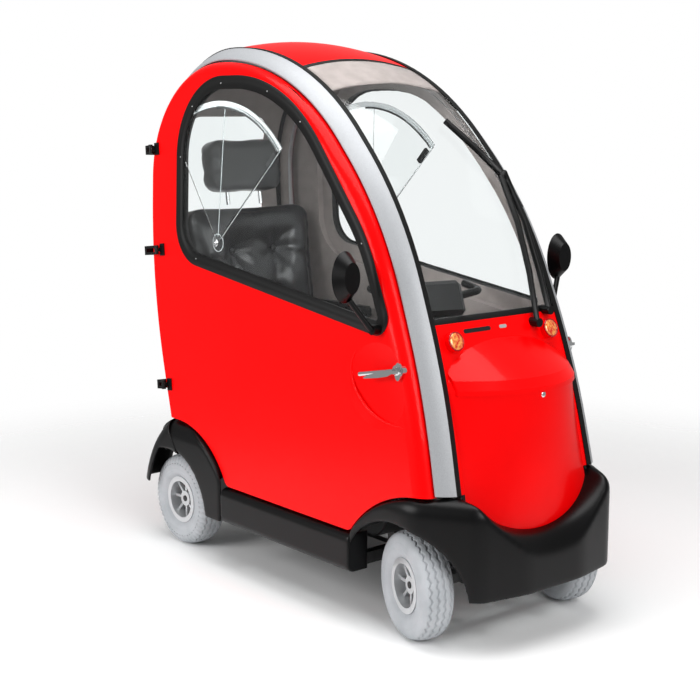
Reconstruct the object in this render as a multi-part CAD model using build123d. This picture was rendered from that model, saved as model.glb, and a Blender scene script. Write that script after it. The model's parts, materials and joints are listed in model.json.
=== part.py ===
from build123d import *
import os
from math import atan, cos, pi, radians, sin, sqrt

os.makedirs("parts", exist_ok=True)

# An enclosed four-wheeled mobility scooter: a hollow cab with two rear-hinged doors on a steel chassis.
# Millimetres. +X is forward, +Y is the driver's left, +Z is up. The origin is on the ground below the
# middle of the overall length. Side pieces are drawn once for the right side and mirrored.

# Running gear
FRONT_AXLE_X = 552.0
WHEELBASE = 1164.0
TRACK = 558.0
TYRE_OD = 310.0
TYRE_WIDTH = 100.0
RIM_SEAT_R = 72.0
RIM_WIDTH = 72.0
HUB_R = 26.0
SPOKE_COUNT = 8
AXLE_R = 10.0
RUN_GAP = 0.3
KINGPIN_Y = 205.0
KINGPIN_R = 10.0
STEER_REST = -16.0
STEER_ARM = 65.0
STEER_PIN_R = 6.0
COLUMN_X = 400.0
COLUMN_R = 18.0
TIE_ROD_R = 7.0
TIE_ROD_Z = 199.0

# Cab side: the door's outer face leans inward going up
SIDE_HALF = 368.0
SIDE_LEAN = 0.037
EDGE_DEPTH = 36.0
DOOR_THICK = 46.0
DOOR_SKIN = 24.0
DOOR_GAP = 7.0
WINDOW_BAND = 30.0
WINDOW_STEP = 20.0
PANE_THICK = 5.0
HOOP_START = 34.0
HOOP_DEPTH = 78.0
HOOP_LIP = 4.0
HOOP_RISE = 46.0
HOOP_BULGE = 4.0
JAMB_DEPTH = 76.0
JAMB_THICK = 6.0
JAMB_LIP = 22.0
SEAL_WIDTH = 18.0
SEAL_RISE = 3.0
SEAL_THICK = 12.0
PANEL_RISE = 42.0
PANEL_THICK = 8.0
ROOF_CROWN = 24.0
CROWN_LEAST = 0.08
SKIN_STATIONS = 13
SEAT_GAP = 0.3

# Heights and stations of the cab panels
SCREEN_LOW_Z = 886.0
SCREEN_TOP_X = -59.0
ROOF_REAR_X = -560.0
REAR_SPLIT_Z = 930.0
BODY_LOW_Z = 440.0

# Lower mouldings
SKIRT_HALF = 372.0
SKIRT_LOW_Z = 155.0
SKIRT_WALL = 10.0
SKIRT_TOP_Z = 437.0
SKIRT_FRONT_END = 345.0
SKIRT_REAR_END = -300.0
BUMPER_X = 802.0
TAIL_X = -788.0
ARCH_R = 213.0
SILL_INNER = SKIRT_HALF - 76.0

# Nose
NOSE_HALF = 270.0
NOSE_BACK_X = 250.0
NOSE_WALL = 8.0
BONNET_RISE = 6.0
BONNET_LOW_Z = 704.0

# Floor and chassis
FLOOR_Z = 240.0
FLOOR_THICK = 6.0
DECK_Z = 460.0
RAIL_Y = 100.0
RAIL_W = 30.0
RAIL_H = 40.0
RAIL_Z = 125.0

# Hinge line of the door, given by two points on the door's outer face
HINGE_LOW = (-634.0, 556.0)
HINGE_HIGH = (-726.0, 1335.0)
HINGE_MID_Z = 1004.0
HINGE_STAND = 15.0
HINGE_BARREL_R = 7.0
HINGE_PIN_R = 3.5
HINGE_LEAF_H = 40.0
HINGE_ARM_H = 30.0

# Worked-out values
AXLE_Z = TYRE_OD / 2
REAR_AXLE_X = FRONT_AXLE_X - WHEELBASE
HALF_TRACK = TRACK / 2
LEAN = atan(SIDE_LEAN)
FAR = 2500.0

# Corners of the cab's side: the edge where the door ends, then the flat of its face, each x, z, radius
CAB_ROWS = [
    ((-516, 100, 1), (-504, 100, 1)),
    ((-749, 885, 2000), (-734, 885, 2000)),
    ((-749, 1612, 365), (-734, 1584, 340)),
    ((-40, 1612, 800), (-58, 1584, 760)),
    ((388, 1177, 1100), (350, 1160, 1060)),
    ((575, 727, 2200), (531, 713, 2150)),
    ((716, 100, 1), (670, 100, 1)),
]
# Lower edge of the door, over the wings and the sill: x, z, radius
DOOR_FOOT_ROWS = [
    (-900, 2000, 1),
    (-900, 447, 1),
    (-391, 447, 330),
    (-282, 279, 30),
    (334, 279, 30),
    (459, 435, 380),
    (900, 435, 1),
    (900, 2000, 1),
]
WINDOW_ROWS = [
    (-583, 989, 130),
    (-583, 1564, 250),
    (-14, 1564, 550),
    (376, 1111, 600),
    (496, 848, 45),
]

SIDE = Plane(origin=(0, -SIDE_HALF, 0), x_dir=(1, 0, 0), z_dir=(0, -cos(LEAN), sin(LEAN)))
parts = {}


def rounded(rows):
    """A closed face from corners with their fillet radii."""
    points = [tuple(row[:2]) for row in rows]
    radii = [row[2] for row in rows]
    return make_face(FilletPolyline(*points, radius=radii, close=True))


def slab(face, near, far):
    """A right-side solid between two depths measured inward from the door's outer face."""
    return extrude(SIDE.offset(-near) * face, amount=near - far)


def across(face, half=FAR):
    """A solid with the given side profile, from one side of the cab to the other."""
    return extrude(Plane.XZ * face, amount=half, both=True)


def core(depth):
    """The space between the two leaning planes that lie at this depth behind the door faces."""
    foot = SIDE_HALF - depth / cos(LEAN)
    high = 2000.0
    top = foot - high * SIDE_LEAN
    section = make_face(Polyline((-foot, 0), (foot, 0), (top, high), (-top, high), close=True))
    return extrude(Plane.YZ * section, amount=FAR, both=True)


def block(x0, x1, y0, y1, z0, z1):
    """A box between two corners."""
    return Pos((x0 + x1) / 2, (y0 + y1) / 2, (z0 + z1) / 2) * Box(x1 - x0, y1 - y0, z1 - z0)


def rod(start, end, radius):
    """A round bar between two points."""
    run = Vector(*end) - Vector(*start)
    return extrude(Plane(origin=start, z_dir=run) * Circle(radius), amount=run.length)


def mirrored(shape):
    return mirror(shape, about=Plane.XZ)


def half_width(z, depth=0.0):
    """Half-width of the cab at a height, at a depth behind the door's outer face."""
    return SIDE_HALF - z * SIDE_LEAN - depth / cos(LEAN)


def add_pair(name, right):
    parts[name + "_right"] = right
    parts[name + "_left"] = mirrored(right)


def add_both(name, right):
    parts[name] = Compound([right, mirrored(right)])


def cab_outline(share):
    """The cab's side outline: share 0 is the flat of the door's face and 1 is the door's edge."""
    rows = []
    for edge, flat in CAB_ROWS:
        rows.append([flat[i] + (edge[i] - flat[i]) * share for i in range(3)])
    return rounded(rows)


# Door: a moulding with a wide rounded margin, a window rebate and a dish behind the handle
cab_face = cab_outline(1)
foot_face = rounded(DOOR_FOOT_ROWS)
door_face = cab_face & foot_face
window_face = rounded(WINDOW_ROWS)
HANDLE_X = 440.0
HANDLE_Z = 716.0
DISH_R = 120.0
DISH_DEPTH = 12.0
DISH_SPHERE = (DISH_R ** 2 + DISH_DEPTH ** 2) / (2 * DISH_DEPTH)
MARGIN_TURNS = (0, 30, 60, 90)


def make_door():
    sections = []
    for turn in MARGIN_TURNS:
        depth = EDGE_DEPTH * (1 - cos(radians(turn)))
        sections.append(SIDE.offset(-depth) * cab_outline(sin(radians(turn))))
    door = loft(sections) + slab(cab_face, EDGE_DEPTH, DOOR_THICK)
    door &= slab(foot_face, -1, DOOR_THICK + 1)
    door -= slab(offset(window_face, WINDOW_STEP), DOOR_SKIN, DOOR_THICK + 1)
    door -= slab(offset(window_face, SEAT_GAP), -1, PANE_THICK)
    door -= slab(offset(window_face, -WINDOW_BAND), -1, DOOR_THICK + 1)
    centre = SIDE.offset(DISH_SPHERE - DISH_DEPTH).from_local_coords((HANDLE_X, HANDLE_Z, 0))
    return door - Pos(centre) * Sphere(DISH_SPHERE)


add_pair("door", make_door())

# Window pane, let into the rebate, and the quarter pane that slides behind it
VENT_PIVOT = (-359.0, 1051.0)
VENT_R = 430.0
VENT_FROM = 43.0
VENT_TO = 127.0
VENT_THICK = 4.0
pane = slab(window_face, 0, PANE_THICK - SEAT_GAP)
add_pair("pane", pane)


def make_vent():
    def corner(angle):
        return (VENT_PIVOT[0] + VENT_R * cos(radians(angle)), VENT_PIVOT[1] + VENT_R * sin(radians(angle)))
    wedge = make_face([Line(VENT_PIVOT, corner(VENT_FROM)),
                       ThreePointArc(corner(VENT_FROM), corner((VENT_FROM + VENT_TO) / 2), corner(VENT_TO)),
                       Line(corner(VENT_TO), VENT_PIVOT)])
    opening = offset(window_face, -WINDOW_BAND - 2)
    return slab(wedge & opening, PANE_THICK, PANE_THICK + VENT_THICK)


add_pair("vent", make_vent())

# Side hoop: a band that rises inboard from the door's edge, with a jamb behind the door
def make_hoop():
    middle = (HOOP_START + HOOP_DEPTH) / 2
    near_rise = DOOR_GAP + HOOP_LIP
    rises = ((HOOP_START, near_rise), (middle, (near_rise + HOOP_RISE) / 2 + HOOP_BULGE), (HOOP_DEPTH, HOOP_RISE))
    band = loft([SIDE.offset(-depth) * offset(cab_face, rise) for depth, rise in rises])
    band -= slab(offset(cab_face, DOOR_GAP), -1, HOOP_DEPTH + 1)
    jamb_face = offset(cab_face, DOOR_GAP + HOOP_LIP) - offset(cab_face, -JAMB_LIP)
    hoop = band + slab(jamb_face, JAMB_DEPTH, JAMB_DEPTH + JAMB_THICK)
    return hoop & above_body


above_body = block(-FAR, FAR, -FAR, FAR, BODY_LOW_Z + SEAT_GAP, FAR)
hoop = make_hoop()
add_pair("hoop", hoop)


def ring(rise, thick):
    """A band right across the cab that follows the side's outline at a height above it."""
    return across(offset(cab_face, rise) - offset(cab_face, rise - thick))


CORE_DEPTH = HOOP_DEPTH + SEAL_WIDTH
panel_core = core(CORE_DEPTH)
seal = ring(PANEL_RISE + SEAL_RISE, SEAL_THICK) & (core(HOOP_DEPTH + SEAT_GAP) - core(CORE_DEPTH - SEAT_GAP))
parts["seals"] = seal & above_body

# Upper skin: one crowned sheet lofted from the rear over the roof to the foot of the windscreen
SKIN_STEPS = 2000
SKIN_OVER = 20.0
skin_wire = offset(cab_face, PANEL_RISE).face().outer_wire()


def skin_share(end, z):
    """How far along the skin's outline it crosses this height, at the front (end 1) or the rear (end -1)."""
    shares = [step / SKIN_STEPS for step in range(SKIN_STEPS)]
    places = [(share, skin_wire.position_at(share)) for share in shares]
    return min((abs(at.Y - z), share) for share, at in places if at.X * end > 0)[1]


def skin_section(at, crown):
    """The sheet's cross-section at a share of the outline, with the middle raised by its crown."""
    place = skin_wire.position_at(at)
    run = skin_wire.tangent_at(at)
    plane = Plane(origin=(place.X, 0, place.Y), x_dir=(0, 1, 0), z_dir=(run.X, 0, run.Y))
    out = 1 if plane.y_dir.dot(Vector(place.X, 0, place.Y - REAR_SPLIT_Z)) > 0 else -1
    half = half_width(place.Y, CORE_DEPTH)
    inner = -PANEL_THICK * out
    top = crown * out
    face = make_face([ThreePointArc((-half, 0), (0, top), (half, 0)), Line((half, 0), (half, inner)),
                      ThreePointArc((half, inner), (0, top + inner), (-half, inner)),
                      Line((-half, inner), (-half, 0))])
    return plane * face


def make_skin():
    first = skin_share(1, SCREEN_LOW_Z - SKIN_OVER)
    last = skin_share(-1, REAR_SPLIT_Z - SKIN_OVER)
    span = (last - first) % 1
    if skin_wire.position_at((first + span / 2) % 1).Y < SCREEN_LOW_Z:
        span -= 1
    sections = []
    for station in range(SKIN_STATIONS):
        share = station / (SKIN_STATIONS - 1)
        crown = ROOF_CROWN * max(sin(share * pi), CROWN_LEAST)
        sections.append(skin_section((first + span * share) % 1, crown))
    return loft(sections)


skin = make_skin()
parts["windscreen"] = skin & block(SCREEN_TOP_X, FAR, -FAR, FAR, SCREEN_LOW_Z, FAR)
parts["roof"] = skin & block(ROOF_REAR_X, SCREEN_TOP_X - SEAT_GAP, -FAR, FAR, REAR_SPLIT_Z, FAR)

# Rear panel with its window, and the tail below it
REAR_WIN_LOW = 960.0
REAR_WIN_HIGH = 1440.0
REAR_WIN_HALF = 165.0
REAR_WIN_R = 50.0
rear = skin & block(-FAR, ROOF_REAR_X - SEAT_GAP, -FAR, FAR, REAR_SPLIT_Z, FAR)
win_mid = (REAR_WIN_LOW + REAR_WIN_HIGH) / 2
rear_win = Pos(0, win_mid) * RectangleRounded(2 * REAR_WIN_HALF, REAR_WIN_HIGH - REAR_WIN_LOW, REAR_WIN_R)
parts["rear_panel"] = rear - extrude(Plane.YZ * rear_win, amount=-FAR)
parts["rear_glass"] = rear & extrude(Plane.YZ * offset(rear_win, -SEAT_GAP), amount=-FAR)
tail = ring(PANEL_RISE, PANEL_THICK) & panel_core
parts["tail_panel"] = tail & block(-FAR, 0, -FAR, FAR, BODY_LOW_Z + SEAT_GAP, REAR_SPLIT_Z - SEAT_GAP)

# Lower mouldings: bumper with front wings, and tail with rear wings, both open below
def skirt_plan(half_rows, inset):
    """A plan symmetric about the middle, from one side's corners: x, y, fillet radius."""
    other = [(x, -y, r) for x, y, r in reversed(half_rows)]
    plan = rounded(half_rows + other)
    return offset(plan, -inset) if inset else plan


FRONT_ROWS = [
    (SKIRT_FRONT_END, -SKIRT_HALF, 5),
    (600, -SKIRT_HALF, 120),
    (BUMPER_X - 31, -268, 70),
    (BUMPER_X, -110, 300),
]
REAR_ROWS = [
    (SKIRT_REAR_END, SKIRT_HALF, 5),
    (-640, SKIRT_HALF, 150),
    (TAIL_X - 20, 250, 100),
]
NOSE_ARC_R = 350.0
NOSE_ARC_LOW = 315.0
NOSE_LIP_X = 736.0
SKIRT_ROUND = 55.0
TAIL_ARC_X = -418.0
TAIL_ARC_Z = 135.0
TAIL_LOW_Z = 215.0
WELL_INNER = 262.0
ARCH_INNER = 240.0
ARCH_DROP = 22.0


def skirt(rows, inset, top_z):
    """The outer or inner form of a lower moulding, stopped short of the doors."""
    low = SKIRT_LOW_Z - (1 if inset else 0)
    form = extrude(Pos(0, 0, low) * skirt_plan(rows, inset), amount=top_z - inset - low)
    form = fillet(form.faces().sort_by(Axis.Z)[-1].edges(), SKIRT_ROUND - inset)
    return form - across(offset(door_face, DOOR_GAP + inset))


def arch(x):
    """The wheel opening in both sides of a moulding."""
    middle = AXLE_Z - ARCH_DROP
    hole = Pos(x, middle) * Circle(ARCH_R) + Pos(x, 0) * Rectangle(2 * ARCH_R, 2 * middle)
    return across(hole) - block(-FAR, FAR, -ARCH_INNER, ARCH_INNER, -FAR, FAR)


def nose_cut(radius):
    """The round hollow for the nose, rolled over at the front to meet the bumper's face."""
    axis_z = NOSE_ARC_LOW + NOSE_ARC_R
    low = axis_z - radius
    roll = BUMPER_X - NOSE_LIP_X
    bend = (NOSE_LIP_X + roll * sin(pi / 4), low - roll * (1 - cos(pi / 4)))
    end = (BUMPER_X, low - roll)
    outline = make_face([Line((FRONT_AXLE_X, axis_z), (FRONT_AXLE_X, low)), Line((FRONT_AXLE_X, low), (NOSE_LIP_X, low)),
                         ThreePointArc((NOSE_LIP_X, low), bend, end), Line(end, (FAR, low - roll)),
                         Line((FAR, low - roll), (FAR, axis_z)), Line((FAR, axis_z), (FRONT_AXLE_X, axis_z))])
    return revolve(Plane.XZ * outline, Axis((0, 0, axis_z), (1, 0, 0)))


def tail_form(inset):
    """The side profile of the rear moulding, rounded down behind the wheels."""
    radius = TAIL_ARC_X - TAIL_X - inset
    profile = Pos(TAIL_ARC_X, TAIL_ARC_Z) * Circle(radius) + Pos(TAIL_ARC_X + FAR / 2, 0) * Rectangle(FAR, FAR)
    return across(profile)


end_gap = SKIRT_WALL + 2
wall_y = SKIRT_HALF - SKIRT_WALL
front_outer = skirt(FRONT_ROWS, 0, SKIRT_TOP_Z)
front_form = front_outer - nose_cut(NOSE_ARC_R)
front_form -= block(-FAR, FRONT_AXLE_X + 60, -WELL_INNER, WELL_INNER, 0, FAR)
front_form -= block(-FAR, SKIRT_FRONT_END + end_gap, -wall_y, wall_y, 0, FAR)
front_space = skirt(FRONT_ROWS, SKIRT_WALL, SKIRT_TOP_Z) - nose_cut(NOSE_ARC_R + SKIRT_WALL)
ARCH_FRONT_X = 530.0
parts["front_skirt"] = front_form - front_space - arch(ARCH_FRONT_X)
rear_form = skirt(REAR_ROWS, 0, SKIRT_TOP_Z + 2) & tail_form(0)
rear_form -= block(REAR_AXLE_X - 20, FAR, -WELL_INNER, WELL_INNER, 0, FAR)
rear_form -= block(SKIRT_REAR_END - end_gap, FAR, -wall_y, wall_y, 0, FAR)
rear_space = skirt(REAR_ROWS, SKIRT_WALL, SKIRT_TOP_Z + 2) & tail_form(SKIRT_WALL)
rear_skirt = rear_form - rear_space - arch(REAR_AXLE_X + 10)
parts["rear_skirt"] = rear_skirt - block(-FAR, REAR_AXLE_X, -FAR, FAR, 0, TAIL_LOW_Z)

# Sills, between the wings
SILL_TOP_Z = 272.0
SILL_ROUND = 24.0
sill = block(SKIRT_REAR_END + SEAT_GAP, SKIRT_FRONT_END - SEAT_GAP, -SKIRT_HALF, -SILL_INNER, SKIRT_LOW_Z, SILL_TOP_Z)
sill = fillet(sill.edges().filter_by(Axis.X).sort_by(Axis.Y)[:2], SILL_ROUND)
add_both("sills", sill)

# Nose: a shield that bulges on a round plan, with a raised bonnet over its top. z, front x, plan radius
NOSE_ROWS = [
    (285, 737, 1800),
    (712, 740, 308),
    (736, 718, 312),
    (834, 556, 480),
]
NOSE_TURN_Z = 700.0


def nose_form(grow):
    """The nose as a ruled loft of round-fronted plans, grown or shrunk all over."""
    sections = []
    for z, front, radius in NOSE_ROWS:
        bend = radius + grow
        tip = front + grow
        edge = tip - bend + sqrt(bend ** 2 - NOSE_HALF ** 2)
        level = z + (grow if z > NOSE_TURN_Z else 0)
        plan = make_face([ThreePointArc((edge, -NOSE_HALF), (tip, 0), (edge, NOSE_HALF)),
                          Polyline((edge, NOSE_HALF), (NOSE_BACK_X, NOSE_HALF), (NOSE_BACK_X, -NOSE_HALF),
                                   (edge, -NOSE_HALF))])
        sections.append(Pos(0, 0, level) * plan)
    return loft(sections, ruled=True)


behind_nose = across(offset(cab_face, PANEL_RISE))
nose_base = ring(PANEL_RISE, PANEL_THICK) & panel_core
parts["nose_base"] = nose_base & block(0, FAR, -FAR, FAR, BODY_LOW_Z + SEAT_GAP, SCREEN_LOW_Z - SEAT_GAP)
shield = nose_form(0) & panel_core
shield = shield - (nose_form(-NOSE_WALL) & core(CORE_DEPTH + NOSE_WALL)) - behind_nose
shield -= front_outer - nose_cut(NOSE_ARC_R - SEAT_GAP)
parts["nose_shield"] = shield
BONNET_INSET = 12.0
bonnet = (nose_form(BONNET_RISE) - nose_form(SEAT_GAP)) & core(CORE_DEPTH + BONNET_INSET)
bonnet &= block(0, FAR, -FAR, FAR, BONNET_LOW_Z, FAR)
parts["bonnet"] = bonnet - across(offset(cab_face, PANEL_RISE + SEAT_GAP))

# Door hinges: the barrel stands clear of the door, one leaf on the door and one arm from the hoop
def on_side(x, z, stand=0.0):
    """A point at this place on the door's outer face, or standing out from it."""
    return SIDE.offset(stand).from_local_coords((x, z, 0))


hinge_foot = on_side(*HINGE_LOW, HINGE_STAND)
hinge_head = on_side(*HINGE_HIGH, HINGE_STAND)
hinge_dir = (hinge_head - hinge_foot).normalized()
hinge_share = (HINGE_MID_Z - HINGE_LOW[1]) / (HINGE_HIGH[1] - HINGE_LOW[1])
hinge_points = [hinge_foot, hinge_foot + (hinge_head - hinge_foot) * hinge_share, hinge_head]
HINGE_KNUCKLE = 12.0
HINGE_LEAF = 28.0
HINGE_FOOT = 12.0
HINGE_PLATE = 4.0
KNUCKLE_GAP = 0.3


def hinge_frame(point):
    """Local frame: z up the hinge line, y inward, x towards the front of the door."""
    forward = hinge_dir.cross(SIDE.z_dir)
    return Plane(origin=point, x_dir=forward, z_dir=hinge_dir)


def door_leaf():
    mid = HINGE_KNUCKLE / 2
    leaf = block(4, HINGE_LEAF, HINGE_STAND - HINGE_PLATE, HINGE_STAND, -HINGE_LEAF_H / 2, HINGE_LEAF_H / 2)
    leaf += block(0, HINGE_PLATE + 4, 0, HINGE_STAND, -mid, mid)
    leaf += Cylinder(HINGE_BARREL_R, HINGE_KNUCKLE)
    return leaf - Cylinder(HINGE_PIN_R + KNUCKLE_GAP, HINGE_LEAF_H)


def edge_reach(point):
    """How far the door's rear edge lies behind the hinge line at this point."""
    place = SIDE.to_local_coords(point)
    strip = Pos(place.X, place.Y) * Rectangle(400, HINGE_LEAF_H)
    return place.X - (cab_face & strip).bounding_box().min.X


def body_arm(reach):
    low = HINGE_KNUCKLE / 2 + KNUCKLE_GAP
    foot = -reach - DOOR_GAP - 3
    end = foot - HINGE_FOOT
    high = HINGE_ARM_H / 2
    arm = Cylinder(HINGE_PIN_R, HINGE_ARM_H)
    for side in (1, -1):
        middle = side * (low + high) / 2
        arm += Pos(0, 0, middle) * Cylinder(HINGE_BARREL_R, high - low)
        arm += block(end, 0, HINGE_BARREL_R - HINGE_PLATE, HINGE_BARREL_R,
                     min(side * low, side * high), max(side * low, side * high))
    arm += block(end, foot, HINGE_BARREL_R - HINGE_PLATE, HINGE_STAND + HOOP_DEPTH, -high, high)
    return arm


leaves = [hinge_frame(point) * door_leaf() - parts["door_right"] for point in hinge_points]
parts["hinge_leaves_right"] = Compound(leaves)
parts["hinge_leaves_left"] = Compound([mirrored(leaf) for leaf in leaves])
arms = [hinge_frame(point) * body_arm(edge_reach(point)) - hoop for point in hinge_points]
arms = [arm.solids().sort_by(SortBy.VOLUME)[-1] for arm in arms]
parts["hinge_arms"] = Compound(arms + [mirrored(arm) for arm in arms])

# Door handle: an oval plate in the dish and a lever
LEVER_FROM = (520.0, 770.0)
LEVER_TO = (383.0, 742.0)
LEVER_R = 7.0
PLATE_R = 22.0


def make_handle():
    stem = rod(on_side(*LEVER_FROM, -DISH_DEPTH - 4), on_side(*LEVER_FROM, 16), 9)
    lever = rod(on_side(*LEVER_FROM, 16), on_side(*LEVER_TO, 18), LEVER_R)
    plate = extrude(SIDE.offset(-DISH_DEPTH) * Pos(*LEVER_FROM) * Ellipse(PLATE_R, PLATE_R * 0.7), amount=DISH_DEPTH + 2)
    return plate + stem + lever + Pos(on_side(*LEVER_TO, 18)) * Sphere(LEVER_R)


handle = make_handle() - parts["door_right"]
handle = handle.solids().sort_by(SortBy.VOLUME)[-1]
add_pair("handle", handle)

# Mirrors on stalks at the front of each window
MIRROR_HEAD = (396.0, -425.0, 1018.0)
MIRROR_FOOT = (436.0, 872.0)
MIRROR_HALF = (71.0, 45.0)
MIRROR_THICK = 34.0
MIRROR_BACK = 0.6
STALK_R = 8.0
STALK_FOOT_R = 14.0
STALK_OUT = 28.0


def make_mirror():
    foot = on_side(*MIRROR_FOOT)
    out = on_side(*MIRROR_FOOT, STALK_OUT)
    face = Plane(origin=MIRROR_HEAD, x_dir=(0, 0, -1), z_dir=(1, 0, 0))
    small = face.offset(MIRROR_THICK) * Ellipse(MIRROR_HALF[0] * MIRROR_BACK, MIRROR_HALF[1] * MIRROR_BACK)
    head = loft([face * Ellipse(*MIRROR_HALF), small])
    neck = (MIRROR_HEAD[0] + MIRROR_THICK / 3, MIRROR_HEAD[1] + STALK_R, MIRROR_HEAD[2] - MIRROR_HALF[0] + STALK_R)
    return head + rod(foot, out, STALK_FOOT_R) + rod(tuple(out), neck, STALK_R)


add_pair("mirror", make_mirror())

# Lamps on the nose
LAMP_X = 585.0
LAMP_Y = 190.0
LAMP_Z = 840.0
LAMP_R = 27.0
lamp = rod((LAMP_X - 60, -LAMP_Y, LAMP_Z - 22), (LAMP_X + 4, -LAMP_Y, LAMP_Z + 2), LAMP_R)
lamp -= across(offset(cab_face, PANEL_RISE + SEAT_GAP))
add_both("headlamps", lamp)
TAIL_LAMP_Z = 620.0
TAIL_LAMP_Y = 165.0
TAIL_LAMP_R = 34.0
TAIL_LAMP_OUT = 18.0
tail_lamp = rod((-FAR, -TAIL_LAMP_Y, TAIL_LAMP_Z), (-600, -TAIL_LAMP_Y, TAIL_LAMP_Z), TAIL_LAMP_R)
tail_lamp &= ring(PANEL_RISE + TAIL_LAMP_OUT, TAIL_LAMP_OUT - SEAT_GAP)
tail_lamp &= block(-FAR, -400, -FAR, FAR, 0, FAR)
add_both("tail_lamps", tail_lamp)

# Floor: one bent sheet, raised over the rear axle and turned up at the toes
FLOOR_HALF = 255.0
FLOOR_ROWS = [
    (-612, DECK_Z, 2),
    (-330, DECK_Z, 25),
    (-318, FLOOR_Z, 25),
    (345, FLOOR_Z, 60),
    (465, 445, 2),
]
floor_path = FilletPolyline(*[row[:2] for row in FLOOR_ROWS], radius=[row[2] for row in FLOOR_ROWS[1:-1]])
floor_face = make_face(offset(floor_path, FLOOR_THICK / 2, side=Side.BOTH))
floor = extrude(Plane.XZ * floor_face, amount=FLOOR_HALF, both=True)
COLUMN_HOLE_R = 30.0
floor -= Pos(COLUMN_X, 0, FLOOR_Z) * Cylinder(COLUMN_HOLE_R, 600)
parts["floor_pan"] = floor

# Chassis: two rails with cross tubes, a bearing for the column, and outriggers to the sills
RAIL_FRONT = FRONT_AXLE_X + 60
RAIL_REAR = REAR_AXLE_X + 90
OUTRIGGER_XS = (-240.0, 240.0)
TIE_DOWN_Y = 200.0
TIE_DOWN_R = 8.0
rail_top = RAIL_Z + RAIL_H


def make_chassis():
    frame = None
    for y in (-RAIL_Y, RAIL_Y):
        rail = block(RAIL_REAR, RAIL_FRONT, y - RAIL_W / 2, y + RAIL_W / 2, RAIL_Z, rail_top)
        frame = rail if frame is None else frame + rail
    for x in OUTRIGGER_XS:
        frame += block(x - 15, x + 15, -SILL_INNER, SILL_INNER, RAIL_Z + 5, rail_top)
        for y in (-RAIL_Y, RAIL_Y):
            frame += block(x - 15, x + 15, y - 15, y + 15, rail_top, FLOOR_Z - FLOOR_THICK / 2)
    frame += block(COLUMN_X - 34, COLUMN_X + 34, -RAIL_Y, RAIL_Y, RAIL_Z + 10, rail_top)
    frame += block(RAIL_REAR, RAIL_REAR + 30, -RAIL_Y, RAIL_Y, RAIL_Z, rail_top)
    for x in OUTRIGGER_XS:
        for y in (-TIE_DOWN_Y, TIE_DOWN_Y):
            frame -= Pos(x, y, RAIL_Z) * Cylinder(TIE_DOWN_R, 200)
    return frame - Pos(COLUMN_X, 0, RAIL_Z) * Cylinder(COLUMN_R + RUN_GAP, 200)


chassis = make_chassis()

# Front axle beam with an eye for each kingpin
EYE_R = 18.0
EYE_H = 28.0
beam = block(FRONT_AXLE_X - 16, FRONT_AXLE_X + 16, -KINGPIN_Y, KINGPIN_Y, AXLE_Z - EYE_H / 2, AXLE_Z + EYE_H / 2)
for y in (-KINGPIN_Y, KINGPIN_Y):
    beam += Pos(FRONT_AXLE_X, y, AXLE_Z) * Cylinder(EYE_R, EYE_H)
for y in (-KINGPIN_Y, KINGPIN_Y):
    beam -= Pos(FRONT_AXLE_X, y, AXLE_Z) * Cylinder(KINGPIN_R + RUN_GAP, 2 * EYE_H)
parts["front_axle"] = beam
chassis -= block(FRONT_AXLE_X - 16.3, FRONT_AXLE_X + 16.3, -FAR, FAR, AXLE_Z - EYE_H / 2 - 0.3, FAR)
parts["chassis"] = chassis

# Steering knuckles, drawn straight ahead about the right kingpin and then turned to the parked angle
FORK_GAP = 0.4
FORK_T = 14.0
STUB_END = 24.0
wheel_out = HALF_TRACK - KINGPIN_Y


def make_knuckle(side):
    """side is -1 for the right wheel and 1 for the left."""
    top = EYE_H / 2 + FORK_GAP
    web = EYE_R + 6
    shape = Cylinder(KINGPIN_R, 2 * (top + FORK_T))
    for level in (1, -1):
        ear = extrude(Rectangle(30, 2 * web) + Pos(0, 0) * Circle(16), amount=FORK_T)
        ear = Pos(0, side * web * 0.3, top if level > 0 else -top - FORK_T) * ear
        shape += ear & block(-40, 40, -2 * web, 2 * web, -60, 60)
    web_y = side * (web + 5)
    shape += block(-15, 15, min(web_y - 5, web_y + 5), max(web_y - 5, web_y + 5), -top - FORK_T, top + FORK_T)
    shape += rod((0, side * web, 0), (0, side * (wheel_out + STUB_END), 0), AXLE_R)
    shape += block(-STEER_ARM, 0, -9, 9, top + FORK_T - 10, top + FORK_T)
    shape += Pos(-STEER_ARM, 0, top + FORK_T - 5) * Cylinder(14, 10)
    shape += rod((-STEER_ARM, 0, top + FORK_T - 10), (-STEER_ARM, 0, TIE_ROD_Z - AXLE_Z + 12), STEER_PIN_R)
    eye = Cylinder(EYE_R + 3, EYE_H + 2 * FORK_GAP) - Cylinder(KINGPIN_R, 100)
    return shape - eye


def steered(shape, side):
    return Pos(FRONT_AXLE_X, side * KINGPIN_Y, AXLE_Z) * Rot(0, 0, STEER_REST) * shape


parts["knuckle_right"] = steered(make_knuckle(-1), -1)
parts["knuckle_left"] = steered(make_knuckle(1), 1)

# Wheels, drawn with the axle along Y and the outer face towards -Y
RIM_WALL = 9.0
FLANGE_R = 79.0
FLANGE_T = 4.0
SPOKE_W = 9.0
SPOKE_T = 12.0
TYRE_ROWS = [
    (RIM_WIDTH / 2, RIM_SEAT_R),
    (RIM_WIDTH / 2, FLANGE_R + 1),
    (0.48 * TYRE_WIDTH, FLANGE_R + 16),
    (0.5 * TYRE_WIDTH, RIM_SEAT_R + 46),
    (0.45 * TYRE_WIDTH, TYRE_OD / 2 - 12),
    (0.25 * TYRE_WIDTH, TYRE_OD / 2),
]


def make_tyre():
    """A tyre of straight bands: half-width and radius at each corner."""
    points = [(-half, r) for half, r in TYRE_ROWS] + [(half, r) for half, r in reversed(TYRE_ROWS)]
    return revolve(Plane.YZ * make_face(Polyline(*points, close=True)), Axis.Y)


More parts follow.
